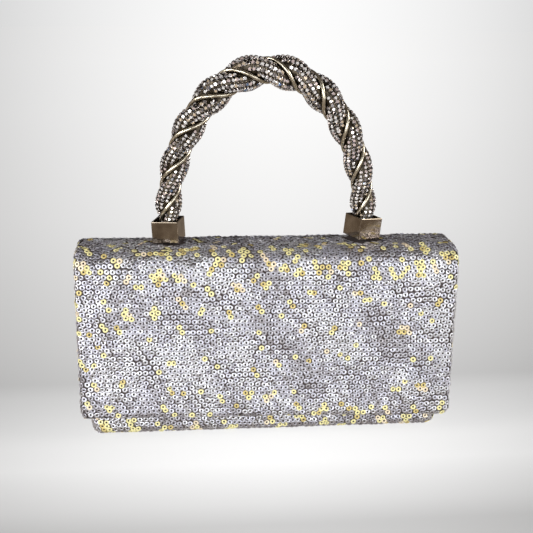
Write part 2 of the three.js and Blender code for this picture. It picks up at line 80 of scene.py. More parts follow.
class Bench:
    """The modelling steps that the pieces share, each one an operator on a picked piece."""

    @staticmethod
    def clear() -> None:
        """Leaves nothing selected."""
        bpy.ops.object.select_all(action="DESELECT")

    @staticmethod
    def pick(piece: Piece) -> None:
        """Selects one piece alone and makes it the active one.

        Args:
            piece: The piece to work on.
        """
        Bench.clear()
        piece.select_set(True)
        bpy.context.view_layer.objects.active = piece

    @staticmethod
    def name(name: str) -> Piece:
        """Names the piece that was just added.

        Args:
            name: The piece's name.

        Returns:
            The piece.
        """
        piece = bpy.context.object
        piece.name = name
        piece.data.name = name
        return piece

    @staticmethod
    def edit(piece: Piece, *steps: Callable[[], object]) -> None:
        """Runs edit-mode steps on a piece with all of it selected at the start.

        Args:
            piece: The piece to edit.
            *steps: The operator calls, in order.
        """
        Bench.pick(piece)
        bpy.ops.object.mode_set(mode="EDIT")
        bpy.ops.mesh.select_all(action="SELECT")
        for step in steps:
            step()
        bpy.ops.object.mode_set(mode="OBJECT")

    @staticmethod
    def edit_faces(
        piece: Piece,
        wanted: Callable[[bpy.types.MeshPolygon], bool],
        *steps: Callable[[], object],
    ) -> None:
        """Runs edit-mode steps on some of a piece's faces.

        Args:
            piece: The piece to edit.
            wanted: The test that picks the faces.
            *steps: The operator calls, in order.
        """
        Bench.pick(piece)
        bpy.ops.object.mode_set(mode="EDIT")
        bpy.ops.mesh.select_mode(type="FACE")
        bpy.ops.mesh.select_all(action="DESELECT")
        bpy.ops.object.mode_set(mode="OBJECT")
        for face in piece.data.polygons:
            face.select = wanted(face)
        bpy.ops.object.mode_set(mode="EDIT")
        for step in steps:
            step()
        bpy.ops.mesh.select_mode(type="VERT")
        bpy.ops.object.mode_set(mode="OBJECT")

    @staticmethod
    def grow(factor: float, rise: float) -> None:
        """Extrudes what is picked, then scales it across and raises it.

        Args:
            factor: The scale along X and Y.
            rise: How far it moves along Z.
        """
        bpy.ops.mesh.extrude_region_move()
        bpy.ops.transform.resize(value=(factor, factor, 1), center_override=(0, 0, 0))
        bpy.ops.transform.translate(value=(0, 0, rise))

    @staticmethod
    def weld(piece: Piece, gap: float = 0.00001) -> None:
        """Merges doubled points and turns the faces outwards.

        Args:
            piece: The piece to weld.
            gap: Points closer than this become one.
        """
        Bench.edit(
            piece,
            lambda: bpy.ops.mesh.remove_doubles(threshold=gap),
            lambda: bpy.ops.mesh.normals_make_consistent(inside=False),
        )

    @staticmethod
    def cap(piece: Piece) -> None:
        """Closes every open end of a piece and turns its faces outwards.

        Args:
            piece: The piece to close.
        """
        Bench.edit(
            piece,
            lambda: bpy.ops.mesh.remove_doubles(threshold=0.000001),
            lambda: bpy.ops.mesh.fill_holes(sides=0),
            lambda: bpy.ops.mesh.select_all(action="SELECT"),
            lambda: bpy.ops.mesh.normals_make_consistent(inside=False),
        )

    @staticmethod
    def modify(piece: Piece, kind: str, **settings: object) -> None:
        """Adds a modifier, sets it and applies it.

        Args:
            piece: The piece to change.
            kind: The modifier's type.
            **settings: The modifier's own settings.
        """
        modifier = piece.modifiers.new(kind.title(), kind)
        for key, value in settings.items():
            setattr(modifier, key, value)
        Bench.pick(piece)
        bpy.ops.object.modifier_apply(modifier=modifier.name)

    @staticmethod
    def bevel(piece: Piece, width: float, segments: int) -> None:
        """Rounds a piece's sharp edges.

        Args:
            piece: The piece.
            width: The rounding's width.
            segments: How many faces go round each edge.
        """
        Bench.modify(
            piece, "BEVEL", width=width, segments=segments, limit_method="ANGLE", use_clamp_overlap=True
        )

    @staticmethod
    def smooth(piece: Piece, degrees: float = 40) -> None:
        """Smooths a piece's shading except across edges sharper than an angle.

        Args:
            piece: The piece to shade.
            degrees: The sharpest angle that is still smoothed.
        """
        Bench.pick(piece)
        bpy.ops.object.shade_smooth_by_angle(angle=math.radians(degrees))

    @staticmethod
    def thicken(piece: Piece, thickness: float, offset: float = -1) -> None:
        """Gives a sheet its thickness and smooths it.

        Args:
            piece: The sheet.
            thickness: Its thickness.
            offset: -1 to grow inwards, 0 to grow both ways.
        """
        Bench.modify(piece, "SOLIDIFY", thickness=thickness, offset=offset)
        Bench.smooth(piece, 60)

    @staticmethod
    def settle(piece: Piece, place: Matrix) -> None:
        """Puts a piece modelled at the origin in its place, and its place in its mesh.

        Args:
            piece: The piece.
            place: Where it goes.
        """
        piece.matrix_world = place
        Bench.pick(piece)
        bpy.ops.object.transform_apply(location=True, rotation=True, scale=True)

    @staticmethod
    def grid(name: str, points: Array) -> Piece:
        """Adds a grid and lays its points out on a shape.

        Args:
            name: The piece's name.
            points: The places of its points, in rows: an array of rows by columns by 3.

        Returns:
            The piece, with a UV map that runs along its rows and columns.
        """
        rows, columns = points.shape[:2]
        Bench.clear()
        bpy.ops.mesh.primitive_grid_add(x_subdivisions=columns - 1, y_subdivisions=rows - 1, size=1)
        piece = Bench.name(name)
        flat = np.empty(rows * columns * 3)
        piece.data.vertices.foreach_get("co", flat)
        flat = flat.reshape(-1, 3).round(6)
        order = np.lexsort((flat[:, 0], flat[:, 1]))
        laid = np.empty_like(flat)
        laid[order] = points.reshape(-1, 3)
        piece.data.vertices.foreach_set("co", laid.reshape(-1))
        piece.data.update()
        piece["order"] = order.tolist()
        return piece

    @staticmethod
    def grid_points(piece: Piece, shape: tuple[int, int]) -> Array:
        """Reads a grid's points back, in the rows they were laid out in.

        Args:
            piece: A piece that Bench.grid made, before any welding.
            shape: Its rows and columns.

        Returns:
            The places, rows by columns by 3.
        """
        flat = np.empty(shape[0] * shape[1] * 3)
        piece.data.vertices.foreach_get("co", flat)
        return flat.reshape(-1, 3)[np.array(piece["order"])].reshape(*shape, 3)


@dataclass
class Places:
    """Where the copies of one small piece go: a point, an across direction and an outward one each."""

    at: Array
    across: Array
    out: Array

    def part(self, chosen: Array) -> "Places":
        """The places that a mask or an index chooses."""
        return Places(self.at[chosen], self.across[chosen], self.out[chosen])


def unit(vectors: Array) -> Array:
    """Vectors of length one in the same directions."""
    return vectors / np.maximum(np.linalg.norm(vectors, axis=-1, keepdims=True), 1e-12)


def turned(places: Places, draws: Chance, spin: float, tilt: float, lean: float = 0) -> Places:
    """Spins and tilts each place a little, as hand-set copies are.

    Args:
        places: The places.
        draws: The seeded source of chance.
        spin: The widest turn about the outward direction, in radians.
        tilt: The usual tilt of the outward direction, in radians.
        lean: A tilt that all share, about the across direction, in radians.

    Returns:
        The turned places.
    """
    count = len(places.at)
    angle = draws.uniform(-spin, spin, count)[:, None]
    along = np.cross(places.out, places.across)
    across = places.across * np.cos(angle) + along * np.sin(angle)
    tip = np.clip(draws.normal(0, tilt, (count, 2)), -2.2 * tilt, 2.2 * tilt)
    out = unit(places.out + places.across * tip[:, :1] + along * (tip[:, 1:] + lean))
    across = unit(across - out * np.sum(across * out, axis=1, keepdims=True))
    return Places(places.at, across, out)


def stamp(
    name: str,
    master: Piece,
    places: Places,
    size: Array,
    finishes: Sequence[Finish],
    choice: Array,
) -> Piece:
    """Copies one small piece to many places, as one mesh.

    Args:
        name: The new piece's name.
        master: The piece to copy, modelled round the origin with its outside to +Z.
        places: Where the copies go.
        size: Each copy's size, as a multiple of the master's.
        finishes: The materials that the copies draw from.
        choice: Each copy's place in finishes, or one for each of its faces.

    Returns:
        The new piece.
    """
    mesh = master.data
    corners = np.array([v.co for v in mesh.vertices])
    loops = np.array([loop.vertex_index for loop in mesh.loops])
    totals = np.array([face.loop_total for face in mesh.polygons])
    smooth = np.array([face.use_smooth for face in mesh.polygons])
    count = len(places.at)
    along = np.cross(places.out, places.across)
    axes = np.stack([places.across, along, places.out], axis=1) * size[:, None, None]
    points = places.at[:, None, :] + np.einsum("pk,nkd->npd", corners, axes)
    copy = bpy.data.meshes.new(name)
    copy.vertices.add(count * len(corners))
    copy.vertices.foreach_set("co", points.reshape(-1))
    copy.loops.add(count * len(loops))
    first = np.arange(count)[:, None] * len(corners)
    copy.loops.foreach_set("vertex_index", (first + loops[None, :]).reshape(-1))
    copy.polygons.add(count * len(totals))
    starts = np.concatenate([[0], np.cumsum(totals)[:-1]])
    first = np.arange(count)[:, None] * len(loops)
    copy.polygons.foreach_set("loop_start", (first + starts[None, :]).reshape(-1))
    slots = np.broadcast_to(choice.reshape(count, -1), (count, len(totals)))
    copy.polygons.foreach_set("material_index", slots.reshape(-1).astype(np.int32))
    copy.polygons.foreach_set("use_smooth", np.tile(smooth, count))
    for finish in finishes:
        copy.materials.append(finish)
    copy.update(calc_edges=True)
    copy.validate()
    piece = bpy.data.objects.new(name, copy)
    bpy.context.scene.collection.objects.link(piece)
    return piece


def dress(
    piece: Piece, finish: Finish | None, body: str, slot: str, *nodes: str
) -> Piece:
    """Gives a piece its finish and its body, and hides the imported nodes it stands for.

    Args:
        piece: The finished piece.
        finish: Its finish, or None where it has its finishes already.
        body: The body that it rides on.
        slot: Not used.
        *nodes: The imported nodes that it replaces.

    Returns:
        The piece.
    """
    if finish is not None:
        piece.data.materials.append(finish)
    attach(piece, body)
    if nodes:
        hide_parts(*nodes)
    return piece


class Drift:
    """A smooth uneven field over a flat sheet, from a few seeded waves, about 0 with a spread of 1."""

    def __init__(self, seed: int, wavelength: float) -> None:
        """Draws the waves.

        Args:
            seed: The seed of the draws.
            wavelength: The usual distance from crest to crest.
        """
        draws = np.random.default_rng(seed)
        heading = draws.uniform(0, 2 * np.pi, 14)
        rate = 2 * np.pi / (wavelength * draws.uniform(0.6, 1.7, 14))
        self.waves = np.stack([rate * np.cos(heading), rate * np.sin(heading)], axis=1)
        self.phases = draws.uniform(0, 2 * np.pi, 14)

    def at(self, u: Array, v: Array) -> Array:
        """The field's value at points of the sheet."""
        flat = np.stack([np.ravel(u), np.ravel(v)], axis=1)
        value = np.sin(flat @ self.waves.T + self.phases).sum(axis=1) / math.sqrt(7)
        return value.reshape(np.shape(u))


# ---- Shader maths


class Value:
    """A number that varies over a surface, usable in sums."""

    def __init__(self, graph: "Graph", socket: bpy.types.NodeSocket) -> None:
        """Wraps a socket.

        Args:
            graph: The material's graph.
            socket: The output that carries the number.
        """
        self.graph = graph
        self.socket = socket

    def join(self, operation: str, *others: object) -> "Value":
        """One Math node on this value and others."""
        return self.graph.maths(operation, self, *others)

    def __add__(self, other: object) -> "Value":
        """This value plus another."""
        return self.graph.maths("ADD", self, other)

    __radd__ = __add__

    def __mul__(self, other: object) -> "Value":
        """This value times another."""
        return self.graph.maths("MULTIPLY", self, other)

    __rmul__ = __mul__

    def __sub__(self, other: object) -> "Value":
        """This value less another."""
        return self.graph.maths("SUBTRACT", self, other)

    def __rsub__(self, other: object) -> "Value":
        """Another value less this one."""
        return self.graph.maths("SUBTRACT", other, self)

    def __truediv__(self, other: object) -> "Value":
        """This value over another."""
        return self.graph.maths("DIVIDE", self, other)

    def __pow__(self, other: object) -> "Value":
        """This value to a power."""
        return self.graph.maths("POWER", self, other)


class Graph:
    """One material's or world's nodes."""

    def __init__(self, name: str, world: bpy.types.World | None = None) -> None:
        """Starts an empty material.

        Args:
            name: The material's name.
            world: A world to use in its place.
        """
        self.material = world or bpy.data.materials.new(name)
        self.material.use_nodes = True
        self.nodes = self.material.node_tree.nodes
        self.links = self.material.node_tree.links
        self.nodes.clear()

    def node(
        self,
        kind: str,
        settings: dict[str, object] | None = None,
        inputs: dict[object, object] | None = None,
    ) -> bpy.types.Node:
        """Adds one node.

        Args:
            kind: The shader node's type.
            settings: Its own settings, set first; stops sets a ramp's.
            inputs: Each input's value, link or Value, by name or number.

        Returns:
            The node.
        """
        node = self.nodes.new("ShaderNode" + kind)
        for key, value in (settings or {}).items():
            if key == "stops":
                self.set_stops(node.color_ramp, value)
            else:
                setattr(node, key, value)
        for key, value in (inputs or {}).items():
            socket = node.inputs[key]
            if isinstance(value, Value):
                self.links.new(value.socket, socket)
            elif isinstance(value, bpy.types.NodeSocket):
                self.links.new(value, socket)
            elif socket.type == "RGBA" and len(value) == 3:
                socket.default_value = (*value, 1)
            else:
                socket.default_value = value
        return node

    @staticmethod
    def set_stops(ramp: bpy.types.ColorRamp, stops: Sequence[tuple[float, Colour]]) -> None:
        """Sets a ramp's stops.

        Args:
            ramp: The ramp.
            stops: Each stop's place and colour.
        """
        while len(ramp.elements) < len(stops):
            ramp.elements.new(1)
        for element, (place, colour) in zip(ramp.elements, stops):
            element.position = place
            element.color = (*colour, 1)

    def maths(self, operation: str, *terms: object) -> Value:
        """One Math node on numbers and values."""
        node = self.node("Math", {"operation": operation}, dict(enumerate(terms)))
        return Value(self, node.outputs[0])

    def place(self, scale: Colour = (1, 1, 1)) -> bpy.types.NodeSocket:
        """The point's own place on the piece, scaled along each axis."""
        coordinates = self.node("TexCoord")
        mapping = self.node(
            "Mapping", None, {"Vector": coordinates.outputs["Object"], "Scale": scale}
        )
        return mapping.outputs[0]

    def sheet(self, scale: Colour) -> bpy.types.NodeSocket:
        """The point's place on the flat sheet, from the piece's UV map."""
        chart = self.node("UVMap", {"uv_map": "UVMap"})
        mapping = self.node("Mapping", None, {"Vector": chart.outputs[0], "Scale": scale})
        return mapping.outputs[0]

    def noise(
        self, scale: float, detail: float = 3, roughness: float = 0.5, vector: object = None
    ) -> Value:
        """A cloudy field from 0 to 1.

        Args:
            scale: Clouds to a metre.
            detail: How many finer layers.
            roughness: How strong the finer layers are.
            vector: The coordinates, or None for the point's own place.

        Returns:
            The field.
        """
        where = self.place() if vector is None else vector
        inputs = {"Vector": where, "Scale": scale, "Detail": detail, "Roughness": roughness}
        return Value(self, self.node("TexNoise", None, inputs).outputs[0])

    def wave(self, scale: float, axis: str, distortion: float = 0, vector: object = None) -> Value:
        """Fine bands from 0 to 1.

        Args:
            scale: The wave node's scale.
            axis: The axis that the bands follow one another along.
            distortion: How uneven they are.
            vector: The coordinates, or None for the point's own place.

        Returns:
            The field.
        """
        where = self.place() if vector is None else vector
        node = self.node(
            "TexWave",
            {"wave_type": "BANDS", "bands_direction": axis, "wave_profile": "SIN"},
            {"Vector": where, "Scale": scale, "Distortion": distortion, "Detail": 1},
        )
        return Value(self, node.outputs["Fac"])

    def ramp(self, value: Value, stops: Sequence[tuple[float, Colour]]) -> bpy.types.NodeSocket:
        """A colour for each value.

        Args:
            value: A field from 0 to 1.
            stops: Each stop's place and colour.

        Returns:
            The colour's socket.
        """
        return self.node("ValToRGB", {"stops": stops}, {0: value}).outputs[0]

    def blend(self, factor: Value, first: object, second: object) -> bpy.types.NodeSocket:
        """Mixes two colours.

        Args:
            factor: How much of the second colour there is.
            first: A colour or its socket.
            second: A colour or its socket.

        Returns:
            The mixed colour's socket.
        """
        node = self.node("Mix", {"data_type": "RGBA"}, {0: factor, 6: first, 7: second})
        return node.outputs[2]

    def bump(self, height: Value, distance: float, strength: float = 1) -> bpy.types.NodeSocket:
        """Raises the surface by a height.

        Args:
            height: A field from 0 to 1.
            distance: How high 1 stands, in metres.
            strength: How strongly it shows.

        Returns:
            The normal's socket.
        """
        inputs = {"Height": height, "Distance": distance, "Strength": strength}
        return self.node("Bump", None, inputs).outputs[0]

    def surface(self, **inputs: object) -> Finish:
        """Finishes the material with one Principled shader.

        Args:
            **inputs: The shader's inputs, with _ for a space.

        Returns:
            The material.
        """
        settings = {key.replace("_", " "): value for key, value in inputs.items()}
        shader = self.node("BsdfPrincipled", None, settings)
        output = self.node("OutputMaterial")
        self.links.new(shader.outputs[0], output.inputs["Surface"])
        return self.material


# ---- Finishes


@dataclass(frozen=True)
class Foil:
    """A thin plastic or metal face whose look is the same all over: one sequin's or one stone facet's."""

    name: str
    colour: Colour
    metallic: float
    roughness: float
    coat: float = 0

    def material(self) -> Finish:
        """Makes the material."""
        return Graph(self.name).surface(
            Base_Color=self.colour,
            Metallic=self.metallic,
            Roughness=self.roughness,
            Coat_Weight=self.coat,
            Coat_Roughness=0.12,
        )


@dataclass(frozen=True)
class Net:
    """The fine knitted net that the sequins are sewn to."""

    name: str = "sequin_net"
    deep: Colour = (0.060, 0.047, 0.046)
    pale: Colour = (0.155, 0.128, 0.126)
    threads: float = 190

    def material(self) -> Finish:
        """Makes the material."""
        graph = Graph(self.name)
        chart = graph.sheet((self.threads, self.threads * 0.7, 1))
        warp = graph.wave(1, "X", 0.6, chart)
        weft = graph.wave(1, "Y", 0.6, chart)
        mesh = (warp * weft) ** 0.6
        cloud = graph.noise(90, 4, 0.6)
        tone = mesh * 0.65 + cloud * 0.35
        return graph.surface(
            Base_Color=graph.ramp(tone, ((0.2, self.deep), (0.8, self.pale))),
            Roughness=0.85,
            Normal=graph.bump(mesh, 0.00018, 0.8),
        )


@dataclass(frozen=True)
class Satin:
    """A smooth lining with a fine twill and soft creases."""

    name: str
    deep: Colour
    pale: Colour
    threads: float = 420

    def material(self) -> Finish:
        """Makes the material."""
        graph = Graph(self.name)
        chart = graph.sheet((self.threads, self.threads, 1))
        twill = graph.wave(1, "DIAGONAL", 0.3, chart)
        cloud = graph.noise(35, 4, 0.55)
        creases = graph.noise(60, 2, 0.4, graph.place((1, 1, 0.35)))
        tone = cloud * 0.7 + twill * 0.3
        return graph.surface(
            Base_Color=graph.ramp(tone, ((0.25, self.deep), (0.75, self.pale))),
            Roughness=graph.noise(120, 2) * 0.15 + 0.33,
            Sheen_Weight=0.35,
            Sheen_Roughness=0.35,
            Normal=graph.bump(twill * 0.15 + creases, 0.0006, 0.6),
        )


@dataclass(frozen=True)
class Grosgrain:
    """A ribbed ribbon."""

    name: str = "mouth_ribbon"
    deep: Colour = (0.080, 0.064, 0.068)
    pale: Colour = (0.170, 0.140, 0.146)

    def material(self) -> Finish:
        """Makes the material."""
        graph = Graph(self.name)
        ribs = graph.wave(1, "X", 0.2, graph.sheet((330, 1, 1)))
        cloud = graph.noise(220, 3)
        return graph.surface(
            Base_Color=graph.ramp(ribs * 0.6 + cloud * 0.4, ((0.2, self.deep), (0.8, self.pale))),
            Roughness=0.6,
            Sheen_Weight=0.3,
            Normal=graph.bump(ribs, 0.0002, 0.9),
        )


@dataclass(frozen=True)
class Fibre:
    """A felted or pressed fibre: wadding, stiffening board or thread."""

    name: str
    deep: Colour
    pale: Colour
    fibre_scale: float
    roughness: float = 0.9
    lift: float = 0.0002

    def material(self) -> Finish:
        """Makes the material."""
        graph = Graph(self.name)
        fibres = graph.noise(self.fibre_scale, 6, 0.7, graph.place((1, 1, 0.4)))
        cloud = graph.noise(self.fibre_scale / 12, 3)
        tone = fibres * 0.6 + cloud * 0.4
        return graph.surface(
            Base_Color=graph.ramp(tone, ((0.3, self.deep), (0.7, self.pale))),
            Roughness=self.roughness,
            Normal=graph.bump(fibres, self.lift, 0.7),
        )


@dataclass(frozen=True)
class Plate:
    """Plated metal: polished or dull, with cloudy tarnish and fine rub marks."""

    name: str
    deep: Colour
    pale: Colour
    gloss: tuple[float, float]
    cloud_scale: float = 160
    marks: float = 0.00002

    def material(self) -> Finish:
        """Makes the material."""
        graph = Graph(self.name)
        cloud = graph.noise(self.cloud_scale, 5, 0.6)
        rubs = graph.noise(900, 2, 0.5, graph.place((1, 1, 0.12)))
        low, high = self.gloss
        return graph.surface(
            Base_Color=graph.ramp(cloud, ((0.32, self.deep), (0.68, self.pale))),
            Metallic=1.0,
            Roughness=(cloud * 0.5 + rubs * 0.5) * (high - low) + low,
            Normal=graph.bump(rubs, self.marks, 0.5),
        )


class SequinShade(Enum):
    """The sequins' looks, in the order of their material slots."""

    BRIGHT = Foil("sequin_pearl_bright", (0.83, 0.835, 0.895), 0.92, 0.36, 0.2)
    LAVENDER = Foil("sequin_pearl_lavender", (0.71, 0.71, 0.80), 0.92, 0.38, 0.2)
    SOFT = Foil("sequin_pearl_soft", (0.585, 0.575, 0.635), 0.92, 0.40, 0.15)
    SMOKY = Foil("sequin_pearl_smoky", (0.46, 0.44, 0.465), 0.92, 0.42, 0.15)
    GOLD = Foil("sequin_gold_bright", (0.98, 0.90, 0.46), 0.15, 0.34, 0.3)
    DEEP_GOLD = Foil("sequin_gold_deep", (0.74, 0.60, 0.25), 0.25, 0.36, 0.3)
    PEACH = Foil("sequin_peach", (0.97, 0.83, 0.62), 0.2, 0.36, 0.3)
    # Near-black thread in each hole: the thread itself, and painted shade of the hole as well.
    THREAD = Foil("sequin_thread_and_hole_shade", (0.045, 0.036, 0.036), 0.0, 0.75)


class StoneShade(Enum):
    """The looks of a stone's facets, in the order of their material slots: clear, rose, champagne and blue
    are the stones' own tints, and the grey and dark facets are painted dark reflection that rims each
    stone.
    """

    CLEAR = Foil("stone_clear", (0.93, 0.90, 0.88), 0.40, 0.12, 0.6)
    ROSE = Foil("stone_rose", (0.78, 0.64, 0.62), 0.45, 0.12, 0.6)
    CHAMPAGNE = Foil("stone_champagne", (0.74, 0.60, 0.44), 0.45, 0.12, 0.6)
    # Painted dark reflection: grey and near-black facets that give each stone its dark rim.
    GREY = Foil("stone_grey_painted_reflection", (0.30, 0.27, 0.27), 0.6, 0.12, 0.5)
    DARK = Foil("stone_dark_painted_reflection", (0.035, 0.03, 0.03), 0.7, 0.12, 0.5)
    BLUE = Foil("stone_blue", (0.20, 0.30, 0.52), 0.7, 0.10, 0.5)


# ---- Shapes


@dataclass
class ClothGrid:
    """A grid of cloth whose rows and columns sit at known places on the flat sheet."""

    across_lines: Array
    along_lines: Array
    points: Array
    flipped: bool = False

    def point(self, u: Array, v: Array) -> Array:
        """Where points of the flat sheet lie on the shaped cloth.

        Args:
            u: The distances across.
            v: The distances along.

        Returns:
            The places, one row each.
        """
        column = np.interp(u, self.across_lines, np.arange(len(self.across_lines)))
        row = np.interp(v, self.along_lines, np.arange(len(self.along_lines)))
        i = np.clip(column.astype(int), 0, len(self.across_lines) - 2)
        j = np.clip(row.astype(int), 0, len(self.along_lines) - 2)
        a = (column - i)[:, None]
        b = (row - j)[:, None]
        net = self.points
        near = net[j, i] * (1 - a) + net[j, i + 1] * a
        far = net[j + 1, i] * (1 - a) + net[j + 1, i + 1] * a
        return near * (1 - b) + far * b

    def places(self, u: Array, v: Array, lift: float) -> Places:
        """Places for copies that stand on the cloth.

        Args:
            u: The distances across.
            v: The distances along.
            lift: How far they stand off the cloth.

        Returns:
            The places.
        """
        step = 0.7 * MM
        across = unit(self.point(u + step, v) - self.point(u - step, v))
        along = unit(self.point(u, v + step) - self.point(u, v - step))
        out = unit(np.cross(across, along) * (-1 if self.flipped else 1))
        return Places(self.point(u, v) + out * lift, across, out)


@dataclass
class FlapForm:
    """The flap's outer shape: from the crease over the top and down the front, with rolled edges."""

    half_width: float = 110 * MM
    back_y: float = 19 * MM
    front_y: float = -19 * MM
    crease_z: float = 107.7 * MM
    top_z: float = 115.4 * MM
    lower_z: float = 13.0 * MM
    back_radius: float = 6 * MM
    front_radius: float = 12 * MM
    roll: float = 2.475 * MM
    corner: float = 2.0 * MM
    turning: float = 4 * MM
    droop: float = 2.1 * MM

    def lengths(self) -> tuple[float, float, float, float, float]:
        """The lengths of the outline's five stretches, from the crease to the lower edge."""
        return (
            self.top_z - self.back_radius - self.crease_z,
            self.back_radius * np.pi / 2,
            self.back_y - self.back_radius - self.front_y - self.front_radius,
            self.front_radius * np.pi / 2,
            self.top_z - self.front_radius - self.lower_z,
        )

    def length(self) -> float:
        """The outline's whole length."""
        return float(sum(self.lengths()))

    def outline(self, v: Array) -> tuple[Array, Array]:
        """The side outline at distances from the crease.

        Args:
            v: The distances.

        Returns:
            The (y, z) places and the (y, z) outward directions.
        """
        rise, back, top, front, _ = self.lengths()
        back_centre = (self.back_y - self.back_radius, self.top_z - self.back_radius)
        front_centre = (self.front_y + self.front_radius, self.top_z - self.front_radius)
        angle = np.clip((v - rise) / self.back_radius, 0, np.pi / 2)
        angle = angle + np.clip((v - rise - back - top) / self.front_radius, 0, np.pi / 2)
        out = np.stack([np.cos(angle), np.sin(angle)], axis=-1)
        on_back = v < rise + back
        on_top = ~on_back & (v < rise + back + top)
        radius = np.where(on_back, self.back_radius, self.front_radius)
        y = np.where(on_back, back_centre[0], front_centre[0]) + radius * out[..., 0]
        z = np.where(on_back, back_centre[1], front_centre[1]) + radius * out[..., 1]
        y = np.where(on_top, back_centre[0] - (v - rise - back), y)
        z = np.where(v < rise, self.crease_z + v, z)
        drop = np.maximum(v - rise - back - top - front, 0)
        return np.stack([y, z - drop], axis=-1), out

    def rolled(self, u: Array, v: Array) -> tuple[Array, Array, Array]:
        """Rolls the sheet's edges round the flap's thickness.

        Args:
            u: Distances across the flat sheet, from its middle.
            v: Distances along it, from the crease.

        Returns:
            The distances across and along on the flap's outer face, and how deep the point lies.
        """
        reach = self.roll + self.corner
        far_u = self.half_width - reach
        far_v = self.length() - reach
        core_u = np.clip(u, -far_u, far_u)
        core_v = np.minimum(v, far_v)
        off_u = u - core_u
        off_v = v - core_v
        off = np.maximum(np.hypot(off_u, off_v), 1e-12)
        past = np.clip(off - self.corner, 0, math.pi * self.roll + self.turning)
        bend = np.minimum(past / self.roll, np.pi)
        reached = np.minimum(off, self.corner) + self.roll * np.sin(bend)
        reached = reached - np.maximum(past - math.pi * self.roll, 0)
        depth = self.roll * (1 - np.cos(bend))
        return core_u + off_u / off * reached, core_v + off_v / off * reached, depth

    def below(self, u: Array, v: Array, depth: Array) -> Array:
        """Places below the flap's outer face, with the lower edge's droop.

        Args:
            u: Distances across the face.
            v: Distances along it.
            depth: How far below it the places lie.

        Returns:
            The places.
        """
        place, out = self.outline(v)
        place = place - out * np.asarray(depth)[..., None]
        skew = self.droop * np.clip(v / self.length(), 0, 1) ** 3 * u / self.half_width
        return np.stack([u, place[..., 0], place[..., 1] - skew], axis=-1)

    def surface(self, u: Array, v: Array) -> Array:
        """Points of the shaped sheet at distances across and along the flat one."""
        return self.below(*self.rolled(u, v))

    def past_edge(self) -> float:
        """How far the flat sheet reaches past the start of its roll."""
        return math.pi * self.roll + self.turning - self.roll


def uneven(start: float, stop: float, cells: int) -> Array:
    """Evenly spaced lines from start to stop, without the last one."""
    return np.linspace(start, stop, cells + 1)[:-1]


@dataclass
class RoundedBox:
    """A box-shaped bag body, open at the top: rings of a rounded oblong over a rounded base."""

    low: Vector
    high: Vector
    corner: float
    base_radius: float
    base_z: float
    top_z: float
    side_cells: int = 56
    end_cells: int = 8
    corner_cells: int = 4

    def ring(self, inset: float) -> Array:
        """One ring of the oblong, from the middle of the back, anticlockwise seen from above.

        Args:
            inset: How far it lies inside the outer outline.

        Returns:
            The (x, y) places, closed with the first one again.
        """
        half = np.array([(self.high.x - self.low.x) / 2 - inset, (self.high.y - self.low.y) / 2 - inset])
        half = np.maximum(half, 0.02 * MM)
        radius = min(max(self.corner - inset, 0.01 * MM), half.min() * 0.98)
        centre = np.array([(self.high.x + self.low.x) / 2, (self.high.y + self.low.y) / 2])
        core = half - radius
        signs = ((-1, 1), (-1, -1), (1, -1), (1, 1))
        corners = []
        for index, (sx, sy) in enumerate(signs):
            angles = np.pi / 2 + np.pi / 2 * (index + np.linspace(0, 1, self.corner_cells + 1))
            middle = centre + core * (sx, sy)
            corners.append(middle + radius * np.stack([np.cos(angles), np.sin(angles)], axis=1))
        cells = (self.end_cells, self.side_cells, self.end_cells, self.side_cells)
        points = []
        for index in range(4):
            points.append(corners[index])
            following = corners[(index + 1) % 4][0]
            steps = np.linspace(0, 1, cells[index] + 1)[1:-1, None]
            points.append(corners[index][-1] * (1 - steps) + following * steps)
        ring = np.concatenate(points)
        start = len(ring) - self.side_cells // 2 + 1
        ring = np.roll(ring, len(ring) - start, axis=0)
        return np.concatenate([ring, ring[:1]])

    def rows(self) -> tuple[Array, Array]:
        """The rings' insets and heights, from the middle of the base to the mouth."""
        half_depth = (self.high.y - self.low.y) / 2
        insets = list(np.linspace(half_depth - 0.03 * MM, self.base_radius, 9)[:-1])
        heights = [self.base_z] * len(insets)
        for angle in np.linspace(0, np.pi / 2, 7):
            insets.append(self.base_radius * (1 - math.sin(angle)))
            heights.append(self.base_z + self.base_radius * (1 - math.cos(angle)))
        walls = np.linspace(self.base_z + self.base_radius, self.top_z, 34)[1:]
        insets.extend([0.0] * len(walls))
        heights.extend(walls)
        return np.array(insets), np.array(heights)

    def points(self) -> Array:
        """The whole shell's points, ring by ring."""
        insets, heights = self.rows()
        rings = [self.ring(inset) for inset in insets]
        return np.stack([np.column_stack([ring, np.full(len(ring), z)]) for ring, z in zip(rings, heights)])


